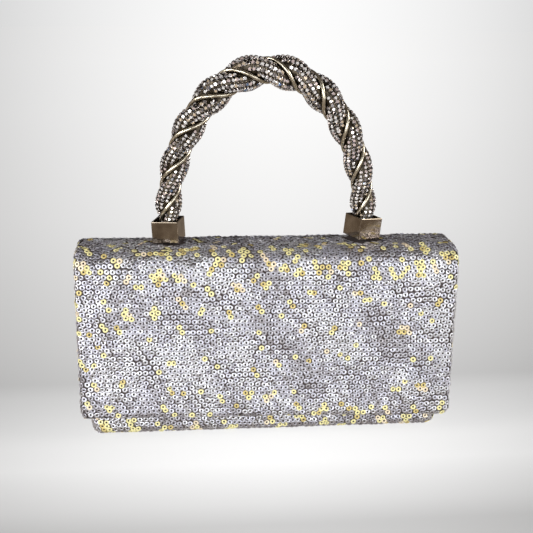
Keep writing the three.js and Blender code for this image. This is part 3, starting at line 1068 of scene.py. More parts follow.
@dataclass
class HandleForm:
    """The handle's rope: a half ellipse on two short straight legs, twisting and swelling to its crown."""

    half_span: float = 57.3 * MM
    rise: float = 86 * MM
    mouth_z: float = 128.3 * MM
    y: float = 5.5 * MM
    left_end_z: float = 121.91 * MM
    right_end_z: float = 122.71 * MM
    crossings: int = 10
    first_crossing: float = 10 * MM
    end_scale: float = 0.8514
    end_taper: float = 9 * MM
    swell: float = 0.3
    swell_power: float = 1.5
    angles: Array = field(init=False)
    reached: Array = field(init=False)

    def __post_init__(self) -> None:
        """Measures the arch."""
        self.angles = np.linspace(np.pi, 0, 4001)
        x = self.half_span * np.cos(self.angles)
        z = self.rise * np.sin(self.angles)
        steps = np.hypot(np.diff(x), np.diff(z))
        self.reached = np.concatenate([[0], np.cumsum(steps)])

    @property
    def arch(self) -> float:
        """The arch's length."""
        return float(self.reached[-1])

    @property
    def start(self) -> float:
        """The left end, as a distance from the left mouth."""
        return self.left_end_z - self.mouth_z

    @property
    def stop(self) -> float:
        """The right end, as a distance from the left mouth."""
        return self.arch + self.mouth_z - self.right_end_z

    def centre(self, distance: Array) -> tuple[Array, Array]:
        """The rope's middle line.

        Args:
            distance: Distances along the arch from the left mouth.

        Returns:
            The places and the directions along the rope.
        """
        on_arch = np.clip(distance, 0, self.arch)
        angle = np.interp(on_arch, self.reached, self.angles)
        x = self.half_span * np.cos(angle)
        z = self.mouth_z + self.rise * np.sin(angle)
        z = z + np.minimum(distance, 0) - np.maximum(distance - self.arch, 0)
        along = np.stack(
            [self.half_span * np.sin(angle), np.zeros_like(x), -self.rise * np.cos(angle)], axis=-1
        )
        return np.stack([x, np.full_like(x, self.y), z], axis=-1), unit(along)

    def scale(self, distance: Array) -> Array:
        """The rope's size along its length, as a multiple of its size in the legs."""
        to_end = np.clip(np.minimum(distance, self.arch - distance) / self.end_taper, 0, 1)
        ending = self.end_scale + (1 - self.end_scale) * to_end * to_end * (3 - 2 * to_end)
        along = np.clip(distance / self.arch, 0, 1)
        return ending + self.swell * np.sin(np.pi * along) ** self.swell_power

    def lay(self, distance: Array, x: Array, y: Array) -> tuple[Array, Array]:
        """Lays a point of the rope's section at a distance along it.

        Args:
            distance: Distances along the arch from the left mouth.
            x: The section's first coordinate.
            y: The section's second coordinate.

        Returns:
            The places and the directions of (x, y) from the rope's middle, not of length one.
        """
        half_pitch = (self.arch - 2 * self.first_crossing) / (self.crossings - 1)
        turn = np.pi * (distance - self.first_crossing) / half_pitch
        place, along = self.centre(distance)
        front = np.array([0.0, -1.0, 0.0])
        side = unit(np.cross(front, along))
        u = x * np.cos(turn) - y * np.sin(turn)
        v = x * np.sin(turn) + y * np.cos(turn)
        spread = side * u[..., None] + front * v[..., None]
        return place + spread * self.scale(distance)[..., None], spread


# ---- Sequins


@dataclass
class SequinWork:
    """Flat ring sequins sewn in staggered rows."""

    radius: float = 1.68 * MM
    hole: float = 0.56 * MM
    rim: float = 0.09 * MM
    thickness: float = 0.18 * MM
    pitch: float = 3.26 * MM
    row_pitch: float = 2.80 * MM
    lift: float = 0.18 * MM
    facets: int = 12
    row_shift: float = 0.10
    jitter_across: float = 0.17 * MM
    jitter_along: float = 0.16 * MM
    tilt: float = 0.11
    lean: float = 0.12
    master: Piece = field(init=False)
    finishes: list[Finish] = field(init=False)

    def __post_init__(self) -> None:
        """Models the sequin and makes its finishes."""
        self.finishes = [shade.value.material() for shade in SequinShade]
        self.master = self.ring()

    def ring(self) -> Piece:
        """Models one sequin: a thin ring with softened rims, lying on z = 0, with a near-black disc of
        thread in its hole that is also painted shade of the hole.
        """
        Bench.clear()
        bpy.ops.mesh.primitive_circle_add(vertices=self.facets, radius=self.radius)
        piece = Bench.name("sequin_master")
        rim = (self.radius - self.rim) / self.radius
        inner = (self.hole + self.rim) / (self.radius - self.rim)
        hole = self.hole / (self.hole + self.rim)
        Bench.edit(
            piece,
            lambda: Bench.grow(rim, self.thickness),
            lambda: Bench.grow(inner, 0),
            lambda: Bench.grow(hole, -self.thickness),
            lambda: bpy.ops.mesh.select_all(action="DESELECT"),
            lambda: bpy.ops.mesh.select_non_manifold(),
            lambda: bpy.ops.mesh.bridge_edge_loops(),
            lambda: bpy.ops.mesh.select_all(action="SELECT"),
            lambda: bpy.ops.mesh.normals_make_consistent(inside=False),
        )
        Bench.clear()
        # A small disc of thread closes the hole; its near-black finish is painted shade of the hole.
        bpy.ops.mesh.primitive_cylinder_add(vertices=6, radius=0.9 * self.hole, depth=0.1 * MM)
        thread_shade_disc = Bench.name("thread_shade_disc_master")
        Bench.edit_faces(
            thread_shade_disc,
            lambda face: face.normal.z > 0.9,
            lambda: bpy.ops.mesh.inset(thickness=0.3 * self.hole, depth=0.05 * MM),
        )
        for master, slot in ((piece, 0), (thread_shade_disc, 1)):
            for finish in self.finishes[:2]:
                master.data.materials.append(finish)
            for face in master.data.polygons:
                face.material_index = slot
        Bench.pick(piece)
        thread_shade_disc.select_set(True)
        bpy.ops.object.join()
        bpy.ops.object.shade_smooth()
        return piece

    def sewn(self, choice: Array) -> Array:
        """Each face's material slot: the sequin's own, with near-black thread in every hole that also
        stands in for the hole's shade.
        """
        in_hole = np.array([face.material_index == 1 for face in self.master.data.polygons])
        # The hole's faces take the near-black thread finish, which paints the hole's shade.
        return np.where(in_hole[None, :], len(self.finishes) - 1, choice[:, None])

    def rows(
        self, width: tuple[float, float], length: tuple[float, float], draws: Chance
    ) -> tuple[Array, Array]:
        """Lays out staggered, slightly uneven rows on a flat oblong.

        Args:
            width: Where the rows start and stop, across.
            length: Where the first and last rows lie, along.
            draws: The seeded source of chance.

        Returns:
            The distances across and along.
        """
        count = max(round((length[1] - length[0]) / self.row_pitch), 1)
        lines = np.linspace(length[0], length[1], count + 1)
        number = int((width[1] - width[0]) / self.pitch)
        step = (width[1] - width[0]) / number
        across, along = [], []
        for index, line in enumerate(lines):
            start = width[0] + step * (0.25 + 0.5 * (index % 2))
            u = start + step * np.arange(number) + draws.normal(0, self.row_shift * step)
            u = u + draws.normal(0, self.jitter_across, len(u))
            across.append(u)
            along.append(line + draws.normal(0, self.jitter_along, len(u)))
        u, v = np.concatenate(across), np.concatenate(along)
        inside = np.clip(np.minimum(v - length[0], length[1] - v) / (6 * MM), 0, 1)
        wander = Drift(len(u), 30 * MM)
        return u + 0.35 * MM * wander.at(v, u), v + 0.55 * MM * wander.at(u, v) * inside

    def shades(
        self, u: Array, v: Array, gold: Array, seed: int, draws: Chance
    ) -> Array:
        """Chooses each sequin's look: mostly pearl, with gold ones in small clusters.

        Args:
            u: Distances across the sheet.
            v: Distances along it.
            gold: The share of gold sequins expected at each place.
            seed: The seed of the clusters.
            draws: The seeded source of chance.

        Returns:
            Each sequin's material slot.
        """
        cloud = Drift(seed, 46 * MM).at(u, v) * 0.7 + draws.normal(0, 0.6, len(u))
        choice = np.select([cloud > 0.15, cloud > -0.75, cloud > -1.75], [0, 1, 2], 3)
        clusters = Drift(seed + 1, 11 * MM).at(u, v) + draws.normal(0, 0.42, len(u))
        order = np.argsort(np.argsort(-clusters)) / len(u)
        golden = order < gold
        tone = Drift(seed + 2, 20 * MM).at(u, v) * 0.25 + draws.uniform(0, 1, len(u))
        choice = np.where(golden, np.select([tone < 0.66, tone < 0.92], [4, 5], 6), choice)
        return choice

    def sew(
        self, name: str, places: Places, choice: Array, body: str, draws: Chance
    ) -> Piece:
        """Makes one piece of sequins and rides it on a body.

        Args:
            name: The piece's name.
            places: Where the sequins lie.
            choice: Each one's material slot.
            body: The body it moves with.
            draws: The seeded source of chance.

        Returns:
            The piece.
        """
        loose = turned(places, draws, np.pi, self.tilt, self.lean)
        size = draws.normal(1, 0.025, len(places.at))
        piece = stamp(name, self.master, loose, size, self.finishes, self.sewn(choice))
        LOG.info("%s: %d sequins", name, len(places.at))
        return dress(piece, None, body, "sequin_cloth")


# ---- Cloth that settles


def settle_cloth(
    piece: Piece, held: Array, pressure: float, slack: float, cap: float
) -> None:
    """Lets a cloth grid swell off its padding, held at its edges, and keeps the result.

    Args:
        piece: The grid, welded or not, with nothing else on it.
        held: How firmly each point is held, from 0 to 1, in the grid's rows.
        pressure: The padding's push.
        slack: How much larger than its place the cloth is cut.
        cap: The farthest that a point may move.
    """
    mesh = piece.data
    before = np.empty(len(mesh.vertices) * 3)
    mesh.vertices.foreach_get("co", before)
    firm = np.empty(held.size)
    firm[np.array(piece["order"])] = held.reshape(-1).round(2)
    group = piece.vertex_groups.new(name="held")
    for level in np.unique(firm[firm > 0]):
        group.add(np.nonzero(firm == level)[0].tolist(), float(level), "REPLACE")
    modifier = piece.modifiers.new("Cloth", "CLOTH")
    settings = {
        "quality": 4,
        "mass": 0.35,
        "tension_stiffness": 25,
        "compression_stiffness": 25,
        "shear_stiffness": 12,
        "bending_stiffness": 1.2,
        "vertex_group_mass": group.name,
        "pin_stiffness": 1,
        "shrink_min": -slack,
        "use_pressure": True,
        "uniform_pressure_force": pressure,
    }
    for key, value in settings.items():
        setattr(modifier.settings, key, value)
    modifier.settings.effector_weights.gravity = 0
    modifier.collision_settings.use_collision = False
    modifier.point_cache.frame_start = 1
    modifier.point_cache.frame_end = SETTLING_FRAMES
    scene = bpy.context.scene
    for number in range(SETTLING_FRAMES):
        scene.frame_set(number + 1)
    swollen = piece.evaluated_get(bpy.context.evaluated_depsgraph_get())
    after = np.empty_like(before)
    swollen.data.vertices.foreach_get("co", after)
    scene.frame_set(1)
    piece.modifiers.remove(modifier)
    piece.vertex_groups.remove(group)
    away = np.empty_like(before)
    mesh.vertices.foreach_get("normal", away)
    before, after, away = (field.reshape(-1, 3) for field in (before, after, away))
    move = after - before
    far = np.linalg.norm(move, axis=1, keepdims=True)
    move = move * np.tanh(far / cap) * cap / np.maximum(far, 1e-9)
    spread = before - before.mean(axis=0)
    away *= np.sign(np.sum(away * spread)) * np.sign(pressure)
    into_padding = np.minimum(np.sum(move * away, axis=1, keepdims=True) + 0.05 * MM, 0)
    move -= away * into_padding
    mesh.vertices.foreach_set("co", (before + move).reshape(-1))
    mesh.update()
    LOG.info("%s settled: moved %.2f mm at most", piece.name, float(far.max()) * 1000)


# ---- The flap


@dataclass(frozen=True)
class Foot:
    """Where one socket stands on the flap, and how it is turned and leans."""

    x: float
    y: float
    z: float
    lean: float
    yaw: float

    def reach(self, places: Array) -> Array:
        """How far places lie from the foot's middle, measured square to its sides."""
        turn = math.radians(self.yaw)
        x = places[..., 0] - self.x
        y = places[..., 1] - self.y
        along = np.abs(x * math.cos(turn) + y * math.sin(turn))
        across = np.abs(y * math.cos(turn) - x * math.sin(turn))
        return np.maximum(along, across) + 1000 * (places[..., 2] < self.z - 5 * MM)


FEET = {
    "left": Foot(-56.97 * MM, 5.5 * MM, 116.277 * MM, -3, -16),
    "right": Foot(56.641 * MM, 5.5 * MM, 116.853 * MM, 6, 27),
}


@dataclass
class Flap:
    """The flap: its sequin cloth, felt, lining, stitches and the snap's stud."""

    work: SequinWork
    form: FlapForm = field(default_factory=FlapForm)
    cloth_thickness: float = 0.5 * MM
    lining_depth: float = 5.05 * MM
    felt_margin: float = 3.2 * MM
    lining_margin: float = 3.4 * MM
    layer_start: float = 1.5 * MM
    sewn_past_edge: float = 3.6 * MM
    foot_clearance: float = 8.6 * MM
    gold_everywhere: float = 0.05
    gold_over_edge: float = 0.22
    gold_at_left: float = 0.16
    gold_low: float = 0.09

    def lines(self) -> tuple[Array, Array]:
        """The flap grid's lines across and along the flat sheet."""
        form = self.form
        inner = form.half_width - form.roll - form.corner
        outer = form.half_width + form.past_edge()
        across = np.concatenate(
            [uneven(-outer, -inner, 13), uneven(-inner, inner, 70), uneven(inner, outer, 13), [outer]]
        )
        low = form.length() - form.roll - form.corner
        end = form.length() + form.past_edge()
        along = np.concatenate([uneven(0, low, 52), uneven(low, end, 13), [end]])
        return across, along

    def cloth(self) -> tuple[Piece, ClothGrid]:
        """Cuts, wraps and settles the flap's sequin cloth.

        Returns:
            The cloth and its grid.
        """
        across, along = self.lines()
        u, v = np.meshgrid(across, along)
        points = self.form.surface(u, v)
        piece = Bench.grid("flap_cloth", points)
        edge = self.form.half_width - self.form.roll - self.form.corner
        inside = np.minimum(edge - np.abs(u), self.form.length() - self.form.roll - self.form.corner - v)
        inside = np.minimum(inside, v)
        held = 1 - np.clip(inside / (7 * MM), 0, 1) * 0.97
        for foot in FEET.values():
            held = np.maximum(held, np.clip((16 * MM - foot.reach(points)) / (5 * MM), 0, 1))
        settle_cloth(piece, held, 0.6, 0.010, 0.8 * MM)
        grid = ClothGrid(across, along, Bench.grid_points(piece, u.shape), flipped=True)
        Bench.weld(piece)
        Bench.thicken(piece, self.cloth_thickness)
        dress(piece, Net().material(), "flap", "sequin_cloth", "flap_cover", "flap_edge_binding")
        return piece, grid

    def sequins(self, grid: ClothGrid) -> list[Piece]:
        """Sews the flap's sequins.

        Args:
            grid: The settled cloth.

        Returns:
            The pieces of sequins.
        """
        draws = np.random.default_rng(41)
        form = self.form
        side = form.half_width + self.sewn_past_edge
        u, v = self.work.rows((-side, side), (1.2 * MM, form.length() + self.sewn_past_edge), draws)
        core_u = np.abs(u) - (form.half_width - form.roll - form.corner)
        core_v = v - (form.length() - form.roll - form.corner)
        past = np.hypot(np.maximum(core_u, 0), np.maximum(core_v, 0))
        keep = past < form.corner + form.roll * 2.45
        u, v = u[keep], v[keep]
        rise, back, top, front, _ = form.lengths()
        over = rise + back + top + front
        gold = np.full(len(u), self.gold_everywhere)
        gold += self.gold_over_edge * np.exp(-(((v - over + 8 * MM) / (15 * MM)) ** 2))
        gold += self.gold_at_left * np.clip(1 - (u + form.half_width) / (18 * MM), 0, 1)
        gold += self.gold_low * np.clip(1 - (form.length() - v) / (20 * MM), 0, 1)
        choice = self.work.shades(u, v, gold, 57, draws)
        places = grid.places(u, v, self.work.lift)
        clear = np.all([foot.reach(places.at) > self.foot_clearance for foot in FEET.values()], axis=0)
        places, choice, v = places.part(clear), choice[clear], v[clear]
        pieces = []
        cuts = (0, over - 6 * MM, over + 42 * MM, 1)
        names = ("flap_sequins_top", "flap_sequins_upper_front", "flap_sequins_lower_front")
        for name, low, high in zip(names, cuts, cuts[1:]):
            part = (v >= low) & (v < high)
            pieces.append(self.work.sew(name, places.part(part), choice[part], "flap", draws))
        return pieces

    def layer_size(self, margin: float) -> tuple[float, float]:
        """An inner layer's flat width and length."""
        return 2 * (self.form.half_width - margin), self.form.length() - margin - self.layer_start

    def layer(self, name: str, depth: float, margin: float, ripple: float, seed: int) -> Piece:
        """Lays an inner layer of the flap.

        Args:
            name: The piece's name.
            depth: How far below the flap's outer face it lies.
            margin: How far it stops short of the flap's edges.
            ripple: How uneven it is.
            seed: The seed of the unevenness.

        Returns:
            The piece, one sheet thick.
        """
        form = self.form
        across = np.linspace(-form.half_width + margin, form.half_width - margin, 75)
        along = np.linspace(self.layer_start, form.length() - margin, 56)
        u, v = np.meshgrid(across, along)
        inside = np.minimum(np.minimum(across[-1] - np.abs(u), along[-1] - v), v - along[0])
        sunk = depth + ripple * Drift(seed, 34 * MM).at(u, v) * np.clip(inside / (8 * MM), 0, 1)
        return Bench.grid(name, form.below(u, v, sunk))

    def felt(self) -> Piece:
        """Lays the felt under the sequin cloth."""
        piece = self.layer("flap_felt", 0.75 * MM, self.felt_margin, 0, 5)
        Bench.weld(piece)
        Bench.thicken(piece, 0.8 * MM)
        felt = Fibre("felt_wadding", (0.46, 0.43, 0.38), (0.72, 0.69, 0.63), 1400)
        return dress(piece, felt.material(), "flap", "wadding", "flap_wadding")

    def lining(self, satin: Finish) -> Piece:
        """Lays the satin lining under the flap.

        Args:
            satin: Its finish.

        Returns:
            The piece.
        """
        piece = self.layer("flap_lining_cloth", self.lining_depth, self.lining_margin, 0.16 * MM, 6)
        Bench.weld(piece)
        Bench.thicken(piece, 0.35 * MM)
        return dress(piece, satin, "flap", "lining_satin", "flap_lining")

    def stitches(self) -> Piece:
        """Sews the lining down along its edge with small stitches.

        Returns:
            The stitches.
        """
        Bench.clear()
        bpy.ops.mesh.primitive_cylinder_add(
            vertices=6, radius=0.16 * MM, depth=2 * MM, rotation=(0, math.pi / 2, 0)
        )
        master = Bench.name("stitch_master")
        bpy.ops.object.transform_apply(location=True, rotation=True, scale=True)
        Bench.edit_faces(
            master,
            lambda face: abs(face.normal.x) > 0.9,
            lambda: bpy.ops.mesh.inset(thickness=0.09 * MM, depth=0.12 * MM),
        )
        Bench.smooth(master, 70)
        form = self.form
        inset = 4.6 * MM
        half = form.half_width - inset
        low = form.length() - inset
        step = 3.4 * MM
        along = np.arange(6 * MM, low - 2 * MM, step)
        across = np.arange(-half + 3 * MM, half - 2 * MM, step)
        u = np.concatenate([np.full(len(along), -half), np.full(len(along), half), across])
        v = np.concatenate([along, along, np.full(len(across), low)])
        upright = np.arange(len(u)) < 2 * len(along)
        _, out = form.outline(v)
        at = form.below(u, v, np.full(len(u), self.lining_depth + 0.42 * MM))
        inward = -np.column_stack([np.zeros(len(u)), out])
        down = np.column_stack([np.zeros(len(u)), -out[:, 1], out[:, 0]])
        level = np.tile([1.0, 0, 0], (len(u), 1))
        direction = np.where(upright[:, None], down, level)
        thread = Fibre("sewing_thread", (0.20, 0.17, 0.18), (0.42, 0.38, 0.39), 5000, 0.6, 0.00005)
        size = np.ones(len(u))
        choice = np.zeros(len(u), int)
        piece = stamp(
            "flap_lining_stitches", master, Places(at, direction, inward), size, [thread.material()], choice
        )
        bpy.data.objects.remove(master)
        return dress(piece, None, "flap", "lining_satin")

    def build(self, satin: Finish) -> list[Piece]:
        """Builds the whole flap.

        Args:
            satin: The linings' finish.

        Returns:
            The pieces.
        """
        cloth, grid = self.cloth()
        sequins = self.sequins(grid)
        felt = self.felt()
        lining = self.lining(satin)
        stitches = self.stitches()
        form = self.form
        width = 2 * (form.half_width + form.past_edge())
        form.length() + form.past_edge()
        self.layer_size(self.lining_margin)
        self.layer_size(self.felt_margin)
        return [cloth, *sequins, felt, lining, stitches]


# ---- The body


@dataclass
class Body:
    """The bag's body: its sequin cloth, lining, slip pocket and mouth ribbon."""

    work: SequinWork
    corner: float = 7 * MM
    base_radius: float = 5 * MM
    cloth_thickness: float = 0.6 * MM
    seam_gap: float = 0.08 * MM
    crease_z: float = 107.4 * MM
    crease_turn: float = 2.4 * MM
    gold_everywhere: float = 0.07
    gold_low: float = 0.22

    def shell(self) -> RoundedBox:
        """The outer cloth's shape."""
        low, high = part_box("body_cover")
        return RoundedBox(low, high, self.corner, self.base_radius, 0.45 * MM, high.z)

    @staticmethod
    def hold(rows: Array, points: Array) -> Array:
        """How firmly each of a shell's points is held, with its seam held fully.

        Args:
            rows: How firmly each row is held.
            points: The shell's points.

        Returns:
            The hold of each point, row by row.
        """
        held = np.repeat(rows[:, None], points.shape[1], axis=1)
        held[:, [0, -1]] = 1
        return held

    def cloth(self) -> tuple[Piece, ClothGrid, RoundedBox]:
        """Lofts and settles the body's sequin cloth.

        Returns:
            The cloth, its grid and its shape.
        """
        form = self.shell()
        points = form.points()
        piece = Bench.grid("body_cloth", points)
        insets, heights = form.rows()
        from_base = heights - (form.base_z + form.base_radius)
        free = np.clip(np.minimum(from_base, form.top_z - heights) / (12 * MM), 0, 1)
        settle_cloth(piece, self.hold(1 - free * 0.97, points), 0.5, 0.010, 0.9 * MM)
        settled = Bench.grid_points(piece, points.shape[:2])
        ring = points[-1]
        around = np.concatenate([[0], np.cumsum(np.linalg.norm(np.diff(ring, axis=0), axis=1))])
        steps = np.hypot(np.diff(insets), np.diff(heights))
        up = np.concatenate([[0], np.cumsum(steps)])
        grid = ClothGrid(around, up, settled)
        Bench.weld(piece, self.seam_gap)
        Bench.thicken(piece, self.cloth_thickness)
        net = Net("sequin_net_body", threads=260).material()
        dress(piece, net, "bag_body", "sequin_cloth", "body_cover")
        return piece, grid, form

    def sequins(self, grid: ClothGrid, form: RoundedBox) -> list[Piece]:
        """Sews the body's sequins.

        Args:
            grid: The settled cloth.
            form: The cloth's shape.

        Returns:
            The pieces of sequins.
        """
        draws = np.random.default_rng(73)
        around = grid.across_lines[-1]
        insets, heights = form.rows()
        rounding = np.interp(form.base_z + 1.2 * MM, heights[8:], grid.along_lines[8:])
        u, v = self.work.rows((0, around), (rounding, grid.along_lines[-1] - 1.4 * MM), draws)
        gold = self.gold_everywhere + self.gold_low * np.exp(-(((v - rounding) / (11 * MM)) ** 2))
        choice = self.work.shades(u, v, gold, 91, draws)
        places = grid.places(u, v, self.work.lift)
        front = places.out[:, 1] < -0.6
        back = places.out[:, 1] > 0.6
        upper = v > grid.along_lines[-1] / 2
        pieces = []
        for name, part in (
            ("body_sequins_front_upper", front & upper),
            ("body_sequins_front_lower", front & ~upper),
            ("body_sequins_back_upper", back & upper),
            ("body_sequins_back_lower", back & ~upper),
            ("body_sequins_ends", ~front & ~back),
        ):
            pieces.append(self.work.sew(name, places.part(part), choice[part], "bag_body", draws))
        pieces.append(self.base_sequins(form, draws))
        return pieces

    def base_sequins(self, form: RoundedBox, draws: Chance) -> Piece:
        """Sews the sequins under the base, flat against it.

        Args:
            form: The cloth's shape.
            draws: The seeded source of chance.

        Returns:
            The piece.
        """
        margin = form.base_radius - 0.6 * MM
        low, high = form.low, form.high
        x, y = self.work.rows(
            (low.x + margin, high.x - margin), (low.y + margin, high.y - margin), draws
        )
        count = len(x)
        at = np.column_stack([x, y, np.full(count, form.base_z - 0.04 * MM)])
        across = np.tile([1.0, 0, 0], (count, 1))
        out = np.tile([0, 0, -1.0], (count, 1))
        choice = self.work.shades(x, y, np.full(count, 0.08), 17, draws)
        laid = Places(at, across, out)
        work = self.work
        sewn = work.sewn(choice)
        piece = stamp("body_sequins_base", work.master, laid, np.ones(count), work.finishes, sewn)
        LOG.info("%s: %d sequins", piece.name, count)
        return dress(piece, None, "bag_body", "sequin_cloth")

    def lining(self, satin: Finish) -> Piece:
        """Lofts the satin lining, slack enough to crease.

        Args:
            satin: Its finish.

        Returns:
            The lining.
        """
        low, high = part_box("body_lining")
        form = RoundedBox(low, high, 4 * MM, 3 * MM, low.z + 0.05 * MM, high.z)
        points = form.points()
        piece = Bench.grid("body_lining_cloth", points)
        insets, heights = form.rows()
        free = np.clip(np.minimum(heights - low.z, high.z - heights) / (14 * MM), 0, 1)
        settle_cloth(piece, self.hold(1 - free * 0.98, points), -0.25, 0.02, 0.5 * MM)
        Bench.weld(piece, self.seam_gap)
        Bench.thicken(piece, 0.4 * MM)
        return dress(piece, satin, "bag_body", "lining_satin", "body_lining")

    def pocket(self, satin: Finish) -> Piece:
        """Makes the slip pocket on the back wall, bowed a little at its mouth.

        Args:
            satin: Its finish.

        Returns:
            The pocket's front.
        """
        low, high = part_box("slip_pocket")
        across = np.linspace(low.x, high.x, 50)
        up = np.linspace(low.z, high.z, 26)
        x, z = np.meshgrid(across, up)
        side = 1 - ((x - (low.x + high.x) / 2) / ((high.x - low.x) / 2)) ** 2
        rise = np.clip((z - low.z) / (high.z - low.z), 0, 1)
        bow = 1.5 * MM * side**0.6 * rise**1.5
        hem = 0.25 * MM * (z > high.z - 6 * MM)
        y = high.y - 0.45 * MM - bow - hem
        piece = Bench.grid("slip_pocket_cloth", np.stack([x, y, z], axis=-1))
        Bench.thicken(piece, 0.45 * MM, 0)
        return dress(piece, satin, "bag_body", "lining_satin", "slip_pocket")

    def ribbon(self) -> Piece:
        """Folds the grosgrain ribbon over the mouth's edge.

        Returns:
            The ribbon.
        """
        low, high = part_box("mouth_binding")
        wall = 4.0 * MM
        form = RoundedBox(low, high, self.corner, self.base_radius, low.z, high.z)
        middle = wall / 2
        section = np.linspace(-0.15 * np.pi, 1.15 * np.pi, 13)
        rows = []
        for angle in section:
            ring = form.ring(max(middle - (middle - 0.1 * MM) * math.cos(angle), 0))
            height = high.z - (high.z - low.z) * (1 - max(math.sin(angle), -0.1))
            rows.append(np.column_stack([ring, np.full(len(ring), height)]))
        piece = Bench.grid("mouth_ribbon", np.array(rows))
        Bench.weld(piece, 0.00002)
        Bench.thicken(piece, 0.35 * MM)
        return dress(piece, Grosgrain().material(), "bag_body", "binding", "mouth_binding")

    def crease(self, net: Finish) -> Piece:
        """Joins the body's back to the flap with the strip of net that is their hinge.

        Args:
            net: Its finish.

        Returns:
            The strip.
        """
        low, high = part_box("body_cover")
        across = np.linspace(low.x + 7 * MM, high.x - 7 * MM, 60)
        up = np.linspace(-7.5 * MM, 3.0 * MM, 15)
        x, s = np.meshgrid(across, up)
        y = high.y - 0.75 * MM + 0.4 * MM * np.clip(s / (3 * MM) + 1.6, 0, 1)
        piece = Bench.grid("crease_cloth", np.stack([x, y, self.crease_z + s], axis=-1))
        Bench.thicken(piece, 0.3 * MM, 0)
        piece.data.materials.append(net)
        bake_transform(piece)
        return piece

    def build(self, satin: Finish) -> list[Piece]:
        """Builds the whole body.

        Args:
            satin: The linings' finish.

        Returns:
            The pieces.
        """
        cloth, grid, form = self.cloth()
        sequins = self.sequins(grid, form)
        lining = self.lining(satin)
        pocket = self.pocket(satin)
        ribbon = self.ribbon()
        crease = self.crease(cloth.data.materials[0])
        return [cloth, *sequins, lining, pocket, ribbon, crease]


# ---- The handle


